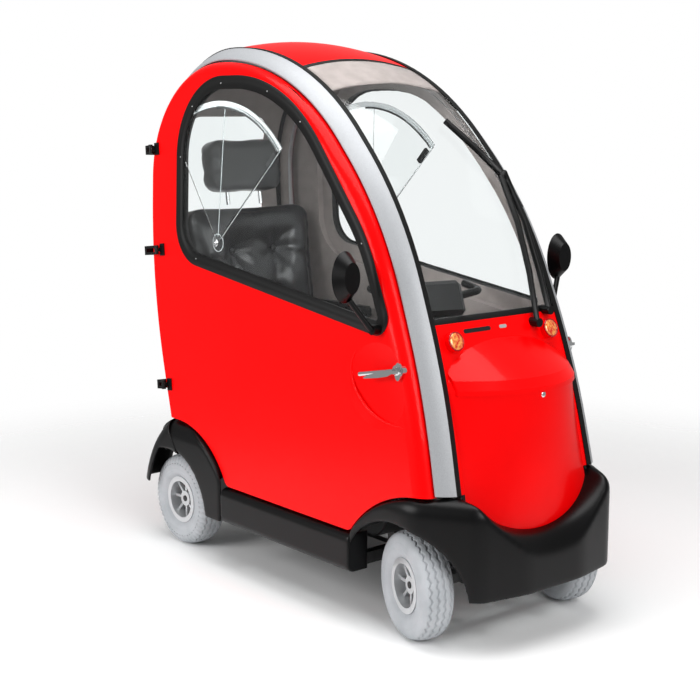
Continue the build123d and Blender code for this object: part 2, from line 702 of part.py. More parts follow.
def ring_y(r0, r1, y0, y1):
    """A ring about the axle."""
    solid = Cylinder(r1, y1 - y0) - Cylinder(r0, 2 * (y1 - y0))
    return Pos(0, (y0 + y1) / 2, 0) * Rot(90, 0, 0) * solid


def make_rim():
    seat = RIM_SEAT_R - RUN_GAP
    edge = RIM_WIDTH / 2 + RUN_GAP
    rim = ring_y(seat - RIM_WALL, seat, -edge, edge)
    for side in (1, -1):
        y0 = min(side * edge, side * (edge + FLANGE_T))
        rim += ring_y(seat - RIM_WALL, FLANGE_R, y0, y0 + FLANGE_T)
    rim += ring_y(AXLE_R + RUN_GAP, HUB_R, -22, 34)
    for index in range(SPOKE_COUNT):
        spoke = block(HUB_R - 3, seat - RIM_WALL + 2, -18, -18 + SPOKE_T, -SPOKE_W / 2, SPOKE_W / 2)
        rim += Rot(0, index * 360 / SPOKE_COUNT, 0) * spoke
    return rim


tyre = make_tyre()
rim = make_rim()
wheel_rows = (("front", True), ("rear", False))
for place, steers in wheel_rows:
    for side, label in ((-1, "right"), (1, "left")):
        for kind, solid in (("tyre", tyre), ("rim", rim)):
            shape = solid if side < 0 else mirrored(solid)
            if steers:
                shape = steered(Pos(0, side * wheel_out, 0) * shape, side)
            else:
                shape = Pos(REAR_AXLE_X, side * HALF_TRACK, AXLE_Z) * shape
            parts[f"{kind}_{place}_{label}"] = shape

# Rear axle with the motor, one plain mass, and its hangers to the rails
REAR_TUBE_R = 22.0
DIFF_R = 62.0
MOTOR_R = 52.0
MOTOR_LEN = 150.0
axle_end = HALF_TRACK - 36
transaxle = rod((REAR_AXLE_X, -axle_end, AXLE_Z), (REAR_AXLE_X, axle_end, AXLE_Z), REAR_TUBE_R)
transaxle += rod((REAR_AXLE_X, -HALF_TRACK - STUB_END, AXLE_Z), (REAR_AXLE_X, HALF_TRACK + STUB_END, AXLE_Z), AXLE_R)
transaxle += rod((REAR_AXLE_X, -45, AXLE_Z), (REAR_AXLE_X, 45, AXLE_Z), DIFF_R)
transaxle += rod((REAR_AXLE_X, 0, AXLE_Z), (REAR_AXLE_X - MOTOR_LEN, 0, AXLE_Z + 25), MOTOR_R)
for y in (-RAIL_Y, RAIL_Y):
    transaxle += block(REAR_AXLE_X, RAIL_REAR, y - 12, y + 12, AXLE_Z - 15, AXLE_Z + 8)
parts["transaxle"] = transaxle

# Battery box on the rails
BATTERY = (190.0, 330.0, 165.0)
battery_x = -440.0
parts["battery_box"] = block(battery_x - BATTERY[0] / 2, battery_x + BATTERY[0] / 2, -BATTERY[1] / 2, BATTERY[1] / 2,
                             rail_top, rail_top + BATTERY[2])

# Seat: post, cushion, back, headrest on two posts, and arm rests
SEAT_BACK_X = -515.0
POST_X = -360.0
POST_R = 45.0
SEAT_DEPTH = 370.0
SEAT_LOW = 530.0
SEAT_HIGH = 625.0
CUSHION_R = 50.0
BACK_LOW = 20.0
BACK_HIGH = 1150.0
BACK_THICK = 95.0
BACK_EXTRA = 15.0
BACK_R = 60.0
BACK_TILT = 9.0
HEADREST = (270.0, 170.0, 80.0)
HEADREST_UP = 45.0
HEADREST_R = 40.0
HEADREST_POST_R = 7.0
PLATE_T = 8.0
PLATE_HALF = (150.0, 180.0)
BRACKET_HALF = 90.0
BRACKET_HIGH = 260.0
ARM_Z = 800.0
ARM_BACK_X = -560.0
ARM_FRONT_X = -300.0
ARM_POST_X = -455.0
ARM_WIDTH = 40.0
ARM_THICK = 40.0
ARM_BEVEL = 10.0
ARM_CLEAR = 13.0
ARM_POST_T = 15.0
arm_out = half_width(ARM_Z, DOOR_THICK) - ARM_CLEAR
arm_in = arm_out - ARM_WIDTH
SEAT_WIDTH = 2 * (arm_in - ARM_CLEAR)
post = rod((POST_X, 0, DECK_Z + FLOOR_THICK / 2), (POST_X, 0, SEAT_LOW - PLATE_T), POST_R)
post += block(POST_X - PLATE_HALF[0], POST_X + PLATE_HALF[0], -PLATE_HALF[1], PLATE_HALF[1],
              SEAT_LOW - PLATE_T, SEAT_LOW)
back_normal = (cos(radians(BACK_TILT)), 0, sin(radians(BACK_TILT)))
back_frame = Plane(origin=(SEAT_BACK_X, 0, SEAT_LOW), x_dir=(0, 1, 0), z_dir=back_normal)
back_rise = (BACK_HIGH - SEAT_LOW) / cos(radians(BACK_TILT))


def back_pad(width, low, high, near, far, radius):
    """A pad on the tilted back: width, heights along the back, depths forward of its front plane."""
    face = Pos(0, (low + high) / 2) * RectangleRounded(width, high - low, radius)
    return extrude(back_frame.offset(near) * face, amount=far - near)


cushion = block(SEAT_BACK_X, SEAT_BACK_X + SEAT_DEPTH, -SEAT_WIDTH / 2, SEAT_WIDTH / 2, SEAT_LOW, SEAT_HIGH)
cushion = fillet(cushion.edges().filter_by(Axis.Z), CUSHION_R)
seat_back = back_pad(SEAT_WIDTH + BACK_EXTRA, BACK_LOW, back_rise, -BACK_THICK, 0, BACK_R)
parts["seat_cushion"] = cushion - seat_back
parts["seat_back"] = seat_back
rest_low = back_rise + HEADREST_UP
parts["headrest"] = back_pad(HEADREST[0], rest_low, rest_low + HEADREST[1], -HEADREST[2], 0, HEADREST_R)
posts = []
for y in (-HEADREST[0] / 4, HEADREST[0] / 4):
    foot = back_frame.from_local_coords((y, back_rise, -BACK_THICK / 2))
    posts.append(extrude(Plane(origin=foot, z_dir=back_frame.y_dir) * Circle(HEADREST_POST_R), amount=HEADREST_UP))
parts["headrest_posts"] = Compound(posts)
bracket = back_pad(2 * BRACKET_HALF, -SEAT_LOW, BRACKET_HIGH, -BACK_THICK - PLATE_T, -BACK_THICK, PLATE_T)
bracket &= block(-FAR, FAR, -FAR, FAR, SEAT_LOW - PLATE_T, FAR)
bracket += block(SEAT_BACK_X - BACK_THICK - PLATE_T / 2, POST_X, -BRACKET_HALF, BRACKET_HALF, SEAT_LOW - PLATE_T, SEAT_LOW)
parts["seat_post"] = post + bracket
arm_rest = block(ARM_BACK_X, ARM_FRONT_X, -arm_out, -arm_in, ARM_Z - ARM_THICK, ARM_Z)
arm_rest = chamfer(arm_rest.edges(), ARM_BEVEL)
post_y = (arm_out + arm_in) / 2
post_low = SEAT_LOW - PLATE_T
arm_rest += block(ARM_POST_X - ARM_POST_T, ARM_POST_X + ARM_POST_T, -post_y - ARM_POST_T / 2, -post_y + ARM_POST_T / 2,
                  post_low, ARM_Z - ARM_BEVEL)
arm_rest += block(ARM_POST_X - ARM_POST_T, ARM_POST_X + ARM_POST_T, -post_y, -PLATE_HALF[1], post_low, SEAT_LOW - SEAT_GAP)
add_both("arm_rests", arm_rest)

# Tiller: a column that turns in the chassis, bent back to the handlebar and its pod
NECK_Z = 600.0
POD = (268.0, 0.0, 900.0)
BAR_R = 12.0
GRIP_HALF = 160.0
POD_BEVEL = 14.0


def make_tiller():
    path = FilletPolyline((COLUMN_X, 0, RAIL_Z + 4), (COLUMN_X, 0, NECK_Z), POD, radius=90)
    tiller = sweep(Plane(origin=path @ 0, z_dir=path % 0) * Circle(COLUMN_R), path=path)
    pod = Pos(*POD) * Rot(0, -25, 0) * Box(70, 150, 110)
    tiller += chamfer(pod.edges(), POD_BEVEL)
    for side in (-1, 1):
        run = FilletPolyline((POD[0], side * 60, POD[2] + 10), (POD[0] - 30, side * GRIP_HALF, POD[2] + 20),
                             (POD[0] - 130, side * GRIP_HALF, POD[2] + 30), radius=30)
        tiller += sweep(Plane(origin=run @ 0, z_dir=run % 0) * Circle(BAR_R), path=run)
    lever_z = TIE_ROD_Z - 25
    tiller += block(COLUMN_X - STEER_ARM, COLUMN_X, -11, 11, lever_z - 5, lever_z + 5)
    tiller += Pos(COLUMN_X - STEER_ARM, 0, lever_z) * Cylinder(14, 10)
    tiller += rod((COLUMN_X - STEER_ARM, 0, lever_z), (COLUMN_X - STEER_ARM, 0, TIE_ROD_Z + 12), STEER_PIN_R)
    turn = Pos(COLUMN_X, 0, 0) * Rot(0, 0, STEER_REST) * Pos(-COLUMN_X, 0, 0)
    return turn * tiller


parts["tiller"] = make_tiller()


def arm_end(x, y):
    """Where a steering arm's pin stands at the parked angle."""
    turn = radians(STEER_REST)
    return (x - STEER_ARM * cos(turn), y - STEER_ARM * sin(turn), TIE_ROD_Z)


lever_pin = arm_end(COLUMN_X, 0)
rods = Pos(*lever_pin) * Cylinder(13, 2 * TIE_ROD_R)
knuckle_pins = [arm_end(FRONT_AXLE_X, side * KINGPIN_Y) for side in (-1, 1)]
for pin in knuckle_pins:
    rods += rod(lever_pin, pin, TIE_ROD_R)
    rods += Pos(*pin) * Cylinder(13, 2 * TIE_ROD_R)
for pin in [lever_pin] + knuckle_pins:
    rods -= Pos(*pin) * Cylinder(STEER_PIN_R + RUN_GAP, 80)
parts["tie_rods"] = rods

# Wiper on the left of the screen: two arms side by side from their spindles, and the blade. y, z, stand along each
WIPER_ARMS = (
    ((138, 862, 20), (156, 1000, 25), (172, 1140, 30), (184, 1270, 36)),
    ((196, 892, 22), (199, 1000, 24), (204, 1140, 28), (210, 1280, 34)),
)
WIPER_BLADE = ((96, 1430, 40), (150, 1350, 36), (202, 1270, 28), (216, 1180, 22))
ARM_R = 6.0
BLADE_R = 7.0
SPINDLE_R = 11.0
SPINDLE_OUT = 8.0
SPINDLE_IN = 60.0


def on_screen(y, z, stand):
    """A point over the cab's front, standing off its skin at this height."""
    level = Pos(FAR / 2, z) * Rectangle(FAR, 1)
    edge = (offset(cab_face, PANEL_RISE) & level).bounding_box().max.X
    return (edge + stand, y, z)


def chain(points, radius):
    """Round bars from point to point, with a ball at each bend."""
    bar = rod(points[0], points[1], radius)
    for start, end in zip(points[1:], points[2:]):
        bar += Pos(*start) * Sphere(radius) + rod(start, end, radius)
    return bar


def make_wiper():
    blade = chain([on_screen(*row) for row in WIPER_BLADE], BLADE_R)
    for rows in WIPER_ARMS:
        path = [on_screen(*row) for row in rows]
        foot = path[0]
        blade += chain(path, ARM_R)
        blade += rod((foot[0] - SPINDLE_IN, foot[1], foot[2]), (foot[0] + SPINDLE_OUT, foot[1], foot[2]), SPINDLE_R)
    first, second = [rows[-1] for rows in WIPER_ARMS]
    blade += rod(on_screen(*first), on_screen(*second), ARM_R)
    return blade - across(offset(cab_face, PANEL_RISE + SEAT_GAP))


parts["wiper"] = make_wiper().solids().sort_by(SortBy.VOLUME)[-1]

for name, shape in parts.items():
    export_step(shape, os.path.join("parts", name + ".step"))
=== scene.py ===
# %% [markdown]
# # An enclosed mobility scooter, dressed in Blender
# The solids come first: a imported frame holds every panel, wheel and joint at its real size, in metres, with
# +X forward and +Z up. This lesson gives each piece its finish, and remakes the pieces whose look needs a
# mesh: padded leather, tread, lamps, trim. Nothing from the frame is ever moved.

# %% Load the frame
import json
import math
import bmesh
import bpy
from mathutils import Matrix, Vector

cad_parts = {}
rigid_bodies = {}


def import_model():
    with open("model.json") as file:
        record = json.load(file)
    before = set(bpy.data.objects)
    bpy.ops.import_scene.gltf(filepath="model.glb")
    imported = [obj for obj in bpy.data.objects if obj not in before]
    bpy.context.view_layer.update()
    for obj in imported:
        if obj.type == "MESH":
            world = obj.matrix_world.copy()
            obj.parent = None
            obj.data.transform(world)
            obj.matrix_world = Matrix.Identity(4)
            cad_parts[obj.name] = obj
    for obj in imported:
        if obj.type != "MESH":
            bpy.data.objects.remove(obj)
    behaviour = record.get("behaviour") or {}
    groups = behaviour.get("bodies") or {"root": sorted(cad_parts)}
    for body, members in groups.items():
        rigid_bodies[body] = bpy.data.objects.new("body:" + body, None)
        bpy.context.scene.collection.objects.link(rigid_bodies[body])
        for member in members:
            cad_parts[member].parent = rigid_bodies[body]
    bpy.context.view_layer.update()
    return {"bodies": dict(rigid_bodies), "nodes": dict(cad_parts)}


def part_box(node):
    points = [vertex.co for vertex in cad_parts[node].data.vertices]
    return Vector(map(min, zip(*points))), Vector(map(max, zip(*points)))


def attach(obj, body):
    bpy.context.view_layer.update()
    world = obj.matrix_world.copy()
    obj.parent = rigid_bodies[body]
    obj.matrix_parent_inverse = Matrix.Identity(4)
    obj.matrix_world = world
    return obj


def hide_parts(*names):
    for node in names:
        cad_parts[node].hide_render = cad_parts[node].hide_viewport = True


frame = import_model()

nodes = frame["nodes"]
carrier = {name: body for body, empty in frame["bodies"].items()
           for name, obj in nodes.items() if obj.parent is empty}

# %% [markdown]
# ## Helpers for materials
# Colours are written as the sRGB hex values a painter would pick on screen, and one function turns them into
# the linear numbers that the shader works in. A second one adds a node with its settings and its links, so a
# material reads as a short list of what goes into what.

# %% Colour and node helpers
MM = 0.001


def linear(hex_code):
    """An sRGB hex colour as linear RGBA."""
    channels = [int(hex_code[i:i + 2], 16) / 255 for i in (1, 3, 5)]
    return [c / 12.92 if c <= 0.04045 else ((c + 0.055) / 1.055) ** 2.4 for c in channels] + [1.0]


def add(tree, kind, links=None, **settings):
    """Adds one node: settings are attributes or socket values, links are socket: output."""
    node = tree.nodes.new(kind)
    for key, value in settings.items():
        if key in node.inputs:
            node.inputs[key].default_value = value
        elif key.replace("_", " ") in node.inputs:
            node.inputs[key.replace("_", " ")].default_value = value
        else:
            setattr(node, key, value)
    for socket, output in (links or {}).items():
        tree.links.new(output, node.inputs[socket])
    return node


print("helpers ready; mid grey in linear light:", round(linear("#808080")[0], 3))

# %% [markdown]
# ## One recipe for every finish
# Paint, plastic and rubber all vary a little from place to place and have some fine relief. Painted pictures
# could give both, but they need unwrapped meshes. Noise needs none: a slow one drifts between two tones,
# and a fine one becomes bump. Each scale is worked out from a size in millimetres.

# %% Finish recipe
TONE_ENDS = (0.35, 0.65)
TONE_DETAIL = 3.0
GRAIN_DETAIL = 2.0


def per_metre(size_mm):
    """The texture scale at which one feature of a noise is this many millimetres across."""
    return 1 / (size_mm * MM)


def finish(name, low, high=None, tone_mm=200, grain_mm=0, strength=0.0, depth_mm=0.3, **settings):
    """A material: two tones that drift into each other, a fine grain as bump, and shader settings."""
    material = bpy.data.materials.new(name)
    material.use_nodes = True
    tree = material.node_tree
    shader = tree.nodes["Principled BSDF"]
    place = add(tree, "ShaderNodeTexCoord").outputs["Object"]
    shader.inputs["Base Color"].default_value = linear(low)
    if high:
        tone = add(tree, "ShaderNodeTexNoise", {"Vector": place}, Scale=per_metre(tone_mm),
                   Detail=TONE_DETAIL)
        ramp = add(tree, "ShaderNodeValToRGB", {"Fac": tone.outputs["Fac"]})
        for element, at, code in zip(ramp.color_ramp.elements, TONE_ENDS, (low, high)):
            element.position = at
            element.color = linear(code)
        tree.links.new(ramp.outputs["Color"], shader.inputs["Base Color"])
    if grain_mm:
        grain = add(tree, "ShaderNodeTexNoise", {"Vector": place}, Scale=per_metre(grain_mm),
                    Detail=GRAIN_DETAIL)
        bump = add(tree, "ShaderNodeBump", {"Height": grain.outputs["Fac"]}, Strength=strength,
                   Distance=depth_mm * MM)
        tree.links.new(bump.outputs["Normal"], shader.inputs["Normal"])
    for key, value in settings.items():
        shader.inputs[key.replace("_", " ")].default_value = value
    return material


print("finish recipe ready; a grain of 2 mm has scale", round(per_metre(2)))

# %% [markdown]
# ## What the scooter is made of
# The doors, roof and nose are glass-fibre mouldings with a pigmented gelcoat, and the hoops are sprayed in a
# silver base coat. The bumper, wings and sills are black ABS, seals are extruded rubber, the screens are
# clear acrylic sheet, and the tyres are the pale grey, non-marking kind. Each finish starts from what is
# usual for its material and is then matched to the scooter.

# %% Panels, seals and steel
# Gelcoat: a deep even red under a thin gloss. Its orange peel only shows where a light is mirrored.
RED = finish("red_gelcoat_grp", "#EC0103", "#F20204", tone_mm=260, grain_mm=9, strength=0.05, depth_mm=0.2,
             Roughness=0.3, Specular_IOR_Level=0.06, Coat_Weight=0.1, Coat_Roughness=0.05)
# Base coat under satin lacquer: a grey that glints. The flakes are drawn 2.2 mm wide, coarser than real ones.
SILVER = finish("silver_basecoat_paint", "#97999C", "#A3A5A8", tone_mm=2.2, Metallic=0.25, Roughness=0.45)
# Moulded ABS: nearly black with a soft sheen. The grain is drawn 2.5 mm wide, coarser than real, to show.
BLACK_ABS = finish("black_abs_moulded", "#010101", "#020203", tone_mm=120, grain_mm=2.5, strength=0.05,
                   Roughness=0.34, Specular_IOR_Level=0.2)
# Extruded rubber: duller than the ABS, so a seal reads as a line of its own. The grain is coarser than real.
RUBBER = finish("black_epdm_rubber", "#030303", "#050505", tone_mm=90, grain_mm=1.5, strength=0.1,
                Roughness=0.5, Specular_IOR_Level=0.25)
# Powder coat on steel: satin black, slightly pebbled. The pebbles are coarser than real.
BLACK_STEEL = finish("black_powder_coat", "#030303", "#050506", tone_mm=90, grain_mm=1.2, strength=0.15,
                     Roughness=0.42, Specular_IOR_Level=0.25)
# Stove enamel: a dark grey, so that the parts underneath stay apart from the black mouldings. Its grain is
# drawn 3 mm wide, coarser than real.
CHASSIS_PAINT = finish("chassis_stove_enamel", "#141516", "#1B1C1D", tone_mm=120, grain_mm=3.0, strength=0.1,
                       Roughness=0.5)
print("panel finishes ready")

# %% Leather, tyres and lining
# Finished leather: dark and smooth, with broad highlights that follow the folds.
LEATHER = finish("black_upholstery_leather", "#161618", "#1D1D20", tone_mm=60, Roughness=0.34)
# Moulded tyre rubber: matt and pale. Its grain is drawn 2 mm wide, coarser than real.
TYRE_RUBBER = finish("grey_tyre_rubber", "#A4A8AC", "#B0B3B7", tone_mm=60, grain_mm=2.0, strength=0.25,
                     Roughness=0.75)
# Foam-backed cloth: quite matt, and too fine for its weave to show from outside.
LINING = finish("taupe_foam_lining", "#7A716E", "#837A77", tone_mm=40, Roughness=0.8)
print("soft finishes ready")

# %% Clear sheet, bright metal and lamps
# Extruded acrylic: pale and partly clear, bright along its edges.
GUIDE = finish("acrylic_guide_strip", "#EEF2F3", Roughness=0.08, IOR=1.3, Transmission_Weight=0.7)
# Acrylic sheet: clear. The index is below acrylic's usual 1.49, so the sheet mirrors less of the studio.
ACRYLIC = finish("clear_acrylic_sheet", "#FAFCFC", Roughness=0.01, IOR=1.2, Transmission_Weight=1.0)
# Chrome plate: a bright mirror.
CHROME = finish("chrome_plate", "#DADCDD", Metallic=1.0, Roughness=0.09)
# Enamel on the rims and screws: pale silver, half way between paint and metal. It also
# makes the painted highlight on the nose.
ALLOY_AND_HIGHLIGHT = finish("silver_wheel_enamel", "#C9CBCD", Metallic=0.55, Roughness=0.3)
# Lamp reflector: red and amber facets, 9 mm wide, under a glossy coat that stands for the lens.
AMBER = finish("lamp_reflector_amber", "#D81E06", "#FFB257", tone_mm=9, Metallic=0.2, Roughness=0.2,
               Coat_Weight=1.0, Coat_Roughness=0.03)
# Moulded lens plastic: a deep red that lets some light through.
RED_LENS = finish("lamp_lens_red", "#B01018", Roughness=0.1, Transmission_Weight=0.3)
# Painted shade: a matt black plate for the shade inside a slot, with no highlight.
PAINTED_SLOT_SHADE = finish("painted_slot_shade", "#050506", Roughness=0.9)
print("clear and bright finishes ready")

# %% [markdown]
# ## Light through the windows
# A thin clear sheet throws almost no shadow, but a path tracer treats it as a block of glass and darkens what
# is behind it. So the rays that look for a lamp find a transparent sheet, and all others find the acrylic.

# %% Let light into the cab
SHEET_TINT = "#F0F3F3"


def let_light_in(material):
    """Lets light pass a clear sheet without a shadow, as it does through a thin one."""
    tree = material.node_tree
    path = add(tree, "ShaderNodeLightPath")
    clear = add(tree, "ShaderNodeBsdfTransparent", Color=linear(SHEET_TINT))
    both = add(tree, "ShaderNodeMixShader", {0: path.outputs["Is Shadow Ray"], 2: clear.outputs[0],
                                             1: tree.nodes["Principled BSDF"].outputs[0]})
    tree.links.new(both.outputs[0], tree.nodes["Material Output"].inputs["Surface"])


let_light_in(ACRYLIC)
print("lamp light passes:", ACRYLIC.name)

# %% [markdown]
# ## A finish for every solid
# Right, left, front and rear pieces share a finish, so one table names each kind of piece once, and the
# endings are added by a loop.

# %% Finish the solids
NODE_FINISH = {
    RED: ["door", "roof", "rear_panel", "tail_panel", "nose_base", "nose_shield", "bonnet", "headlamps"],
    SILVER: ["hoop"],
    RUBBER: ["seals"],
    ACRYLIC: ["pane", "vent", "windscreen", "rear_glass"],
    BLACK_ABS: ["front_skirt", "rear_skirt", "sills", "mirror", "battery_box", "arm_rests"],
    BLACK_STEEL: ["hinge_leaves", "hinge_arms", "wiper", "tiller"],
    CHASSIS_PAINT: ["floor_pan", "front_axle", "chassis", "knuckle", "transaxle", "seat_post", "tie_rods"],
    LEATHER: ["seat_cushion", "seat_back", "headrest"],
    TYRE_RUBBER: ["tyre"],
    ALLOY_AND_HIGHLIGHT: ["rim"],
    CHROME: ["handle", "headrest_posts"],
    RED_LENS: ["tail_lamps"],
}
ENDINGS = ("", "_right", "_left", "_front_right", "_front_left", "_rear_right", "_rear_left")
finish_of = {stem + ending: material for material, stems in NODE_FINISH.items()
             for stem in stems for ending in ENDINGS}
for name, obj in nodes.items():
    obj.data.materials.clear()
    obj.data.materials.append(finish_of[name])
print("finishes given to", len(nodes), "nodes")

# %% [markdown]
# ## A lining inside the cab
# The insides of the doors, hoops, roof and rear panel are covered in a taupe foam-backed cloth. It could be a
# second skin, but the solids are as thick as the whole wall, so it is enough to give the faces that look
# inward a second material.

# %% Line the cab
LINED_SIDES = {"door_right": 1, "door_left": -1, "hoop_right": 1, "hoop_left": -1}
LINED_ENDS = ("roof", "rear_panel")
LINING_INDEX = 1
INWARD = 0.5  # cosine of the widest angle that still counts as inward
CAB_MIDDLE = Vector((0.0, 0.0, 0.95))


def line_faces(node, looks_inward):
    """Gives the lining to the faces of a CAD node that pass a test."""
    mesh = nodes[node].data
    mesh.materials.append(LINING)
    chosen = [face for face in mesh.polygons if looks_inward(face)]
    for face in chosen:
        face.material_index = LINING_INDEX
    return len(chosen)


for node, side in LINED_SIDES.items():
    print(node, "lined faces:", line_faces(node, lambda face: face.normal.y * side > INWARD))
for node in LINED_ENDS:
    print(node, "lined faces:", line_faces(
        node, lambda face: (CAB_MIDDLE - face.center).normalized().dot(face.normal) > INWARD))

# %% [markdown]
# ## Soft edges on the black mouldings
# Moulded ABS has no sharp edge anywhere. A bevel would need clean edges to follow, and these shapes are cut
# in many places. A voxel remesh turns each moulding into small even quads instead, and a few smoothing
# rounds then soften every edge by some millimetres. Both are modifiers, so the solid stays as it is.

# %% Soften the mouldings
SOFTENED = {"front_skirt": 36, "rear_skirt": 24, "sills": 12}
MOULDING_VOXEL = 4.0 * MM
SMOOTHING = 0.5
for node, rounds in SOFTENED.items():
    remesh = nodes[node].modifiers.new("even_quads", "REMESH")
    remesh.mode, remesh.voxel_size, remesh.use_smooth_shade = "VOXEL", MOULDING_VOXEL, True
    smooth = nodes[node].modifiers.new("soft_edges", "SMOOTH")
    smooth.factor, smooth.iterations = SMOOTHING, rounds
print("softened:", ", ".join(SOFTENED))

# %% [markdown]
# ## Ridges on the nose, and the wiper
# The bonnet and the nose shield have clean ridges, so a bevel can round those. The wiper's arm is thin steel
# in a plastic sleeve: the solid is pushed outward along its normals. Its faces don't share their corner
# points at first, so they are welded, or they would come apart.

# %% Ridges and the wiper's sleeve
RIDGE_WIDTHS = {"bonnet": 12, "nose_shield": 6}
RIDGE_ANGLE = math.radians(14)
RIDGE_STEPS = 4
WELD_REACH = 0.02 * MM
SLEEVE_WALL = 3.0 * MM
for node, width in RIDGE_WIDTHS.items():
    bevel = nodes[node].modifiers.new("soft_ridge", "BEVEL")
    bevel.limit_method, bevel.angle_limit = "ANGLE", RIDGE_ANGLE
    bevel.width, bevel.segments = width * MM, RIDGE_STEPS
    nodes[node].data.shade_smooth()
weld = nodes["wiper"].modifiers.new("closed_edges", "WELD")
weld.merge_threshold = WELD_REACH
sleeve = nodes["wiper"].modifiers.new("plastic_sleeve", "DISPLACE")
sleeve.strength, sleeve.mid_level = SLEEVE_WALL, 0.0
print("rounded ridges:", ", ".join(RIDGE_WIDTHS), "and a sleeve on the wiper")

# %% [markdown]
# ## Making a piece
# A new piece is a list of points and faces in the shared frame. It rides with whatever body carries a CAD
# node, so that it opens with its door or turns with its wheel.

# %% A piece that rides with a solid
def piece(name, points, faces, material, like, flat=False):
    """A mesh that moves with the body of the CAD node like."""
    mesh = bpy.data.meshes.new(name)
    mesh.from_pydata([tuple(p) for p in points], [], faces)
    mesh.materials.append(material)
    for face in mesh.polygons:
        face.use_smooth = not flat
    obj = bpy.data.objects.new(name, mesh)
    bpy.context.scene.collection.objects.link(obj)
    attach(obj, carrier[like])
    return obj


# %% [markdown]
# ## Outlines
# Gaskets and plates follow flat outlines. Each outline is a short table of corners with a radius, as on a
# drawing, and a second helper moves it in or out for the width of a gasket.

# %% Rounded outlines
ARC_STEP = 8.0
LEAST_STEPS = 3


def rounded_outline(rows):
    """Points round a closed outline of corners x, z, radius, with the corners rounded."""
    points = []
    for i, (x, z, radius) in enumerate(rows):
        corner = Vector((x, z))
        before = (Vector(rows[i - 1][:2]) - corner).normalized()
        after = (Vector(rows[(i + 1) % len(rows)][:2]) - corner).normalized()
        half = before.angle(after) / 2
        middle = corner + (before + after).normalized() * radius / math.sin(half)
        first = corner + before * radius / math.tan(half) - middle
        swing = first.angle_signed(corner + after * radius / math.tan(half) - middle)
        count = max(LEAST_STEPS, int(abs(swing) * radius / ARC_STEP))
        for k in range(count + 1):
            turned = first.copy()
            turned.rotate(Matrix.Rotation(-swing * k / count, 2))
            points.append(middle + turned)
    return points


def inset(points, distance):
    """The same closed outline moved inward, point by point."""
    area = sum(a.x * b.y - b.x * a.y for a, b in zip(points, points[1:] + points[:1]))
    turn = 1 if area > 0 else -1
    moved = []
    for i, point in enumerate(points):
        along = (points[(i + 1) % len(points)] - points[i - 1]).normalized()
        moved.append(point + Vector((-along.y, along.x)) * turn * distance)
    return moved


def full_circle(count):
    """Angles at even steps round a circle."""
    return [2 * math.pi * k / count for k in range(count)]


print("outline helpers ready")

# %% [markdown]
# ## The doors' leaning sides
# Both doors lean inward toward the roof. One function places a point on that face from x, height and how far
# it stands out, so that everything on a door can be drawn flat.

# %% Places on a door
SIDES = (("right", -1), ("left", 1))
SIDE_HALF = 368.0
LEAN = math.atan(0.037)  # the face leans in by 37 mm for each metre of height


def on_side(x, z, stand, side):
    """A point on the door's outer face, in metres: stand is outward, side is -1 for the right."""
    y = SIDE_HALF - z * math.sin(LEAN) + stand * math.cos(LEAN)
    return Vector((x, side * y, z * math.cos(LEAN) + stand * math.sin(LEAN))) * MM


def outward(side):
    """The direction straight out of the door's face."""
    return on_side(0, 0, 1 / MM, side) - on_side(0, 0, 0, side)


def side_band(name, outer, inner, low, high, side, material, like, slot):
    """A flat ring on the door's face between two outlines, from stand low to stand high."""
    count = len(outer)
    rings = ((outer, low), (outer, high), (inner, high), (inner, low))
    points = [on_side(p.x, p.y, stand, side) for ring, stand in rings for p in ring]
    faces = []
    for ring in range(len(rings)):
        a, b = ring * count, (ring + 1) % len(rings) * count
        for i in range(count):
            j = (i + 1) % count
            faces.append((a + i, a + j, b + j, b + i))
    return piece(name, points, faces, material, like)


print("the right door's face looks along", [round(c, 3) for c in outward(-1)])

# %% [markdown]
# ## Screw heads, bolts and buttons
# A screw head is a low dome on a round foot. A sphere would have most of its points inside the panel, so each
# dome is three rings and a tip, and a whole row of them is one mesh.

# %% Studs
DOME_RINGS = ((1.0, 0.0), (0.92, 0.55), (0.6, 0.9))  # share of the radius, share of the height


def studs(name, rows, material, like, sides=12):
    """Low domes in one mesh: each row is centre, axis, radius and height, in metres."""
    points, faces = [], []
    last = len(DOME_RINGS) - 1
    for centre, axis, radius, height in rows:
        axis = Vector(axis).normalized()
        across = axis.orthogonal().normalized()
        other = axis.cross(across)
        base = len(points)
        for share, rise in DOME_RINGS:
            for angle in full_circle(sides):
                spoke = across * math.cos(angle) + other * math.sin(angle)
                points.append(centre + spoke * radius * share + axis * height * rise)
        points.append(centre + axis * height)
        for ring in range(last):
            a, b = base + ring * sides, base + (ring + 1) * sides
            faces += [(a + k, a + (k + 1) % sides, b + (k + 1) % sides, b + k) for k in range(sides)]
        top, tip = base + last * sides, base + (last + 1) * sides
        faces += [(top + k, top + (k + 1) % sides, tip) for k in range(sides)]
        faces.append(tuple(reversed(range(base, base + sides))))
    return piece(name, points, faces, material, like)


print("studs of", len(DOME_RINGS), "rings ready")

# %% [markdown]
# ## Door windows
# Each acrylic pane is held by a black rubber gasket with a row of small bright screws. The gasket follows the
# window's outline, given by the same corners as the solid: x, z and radius on the leaning side.

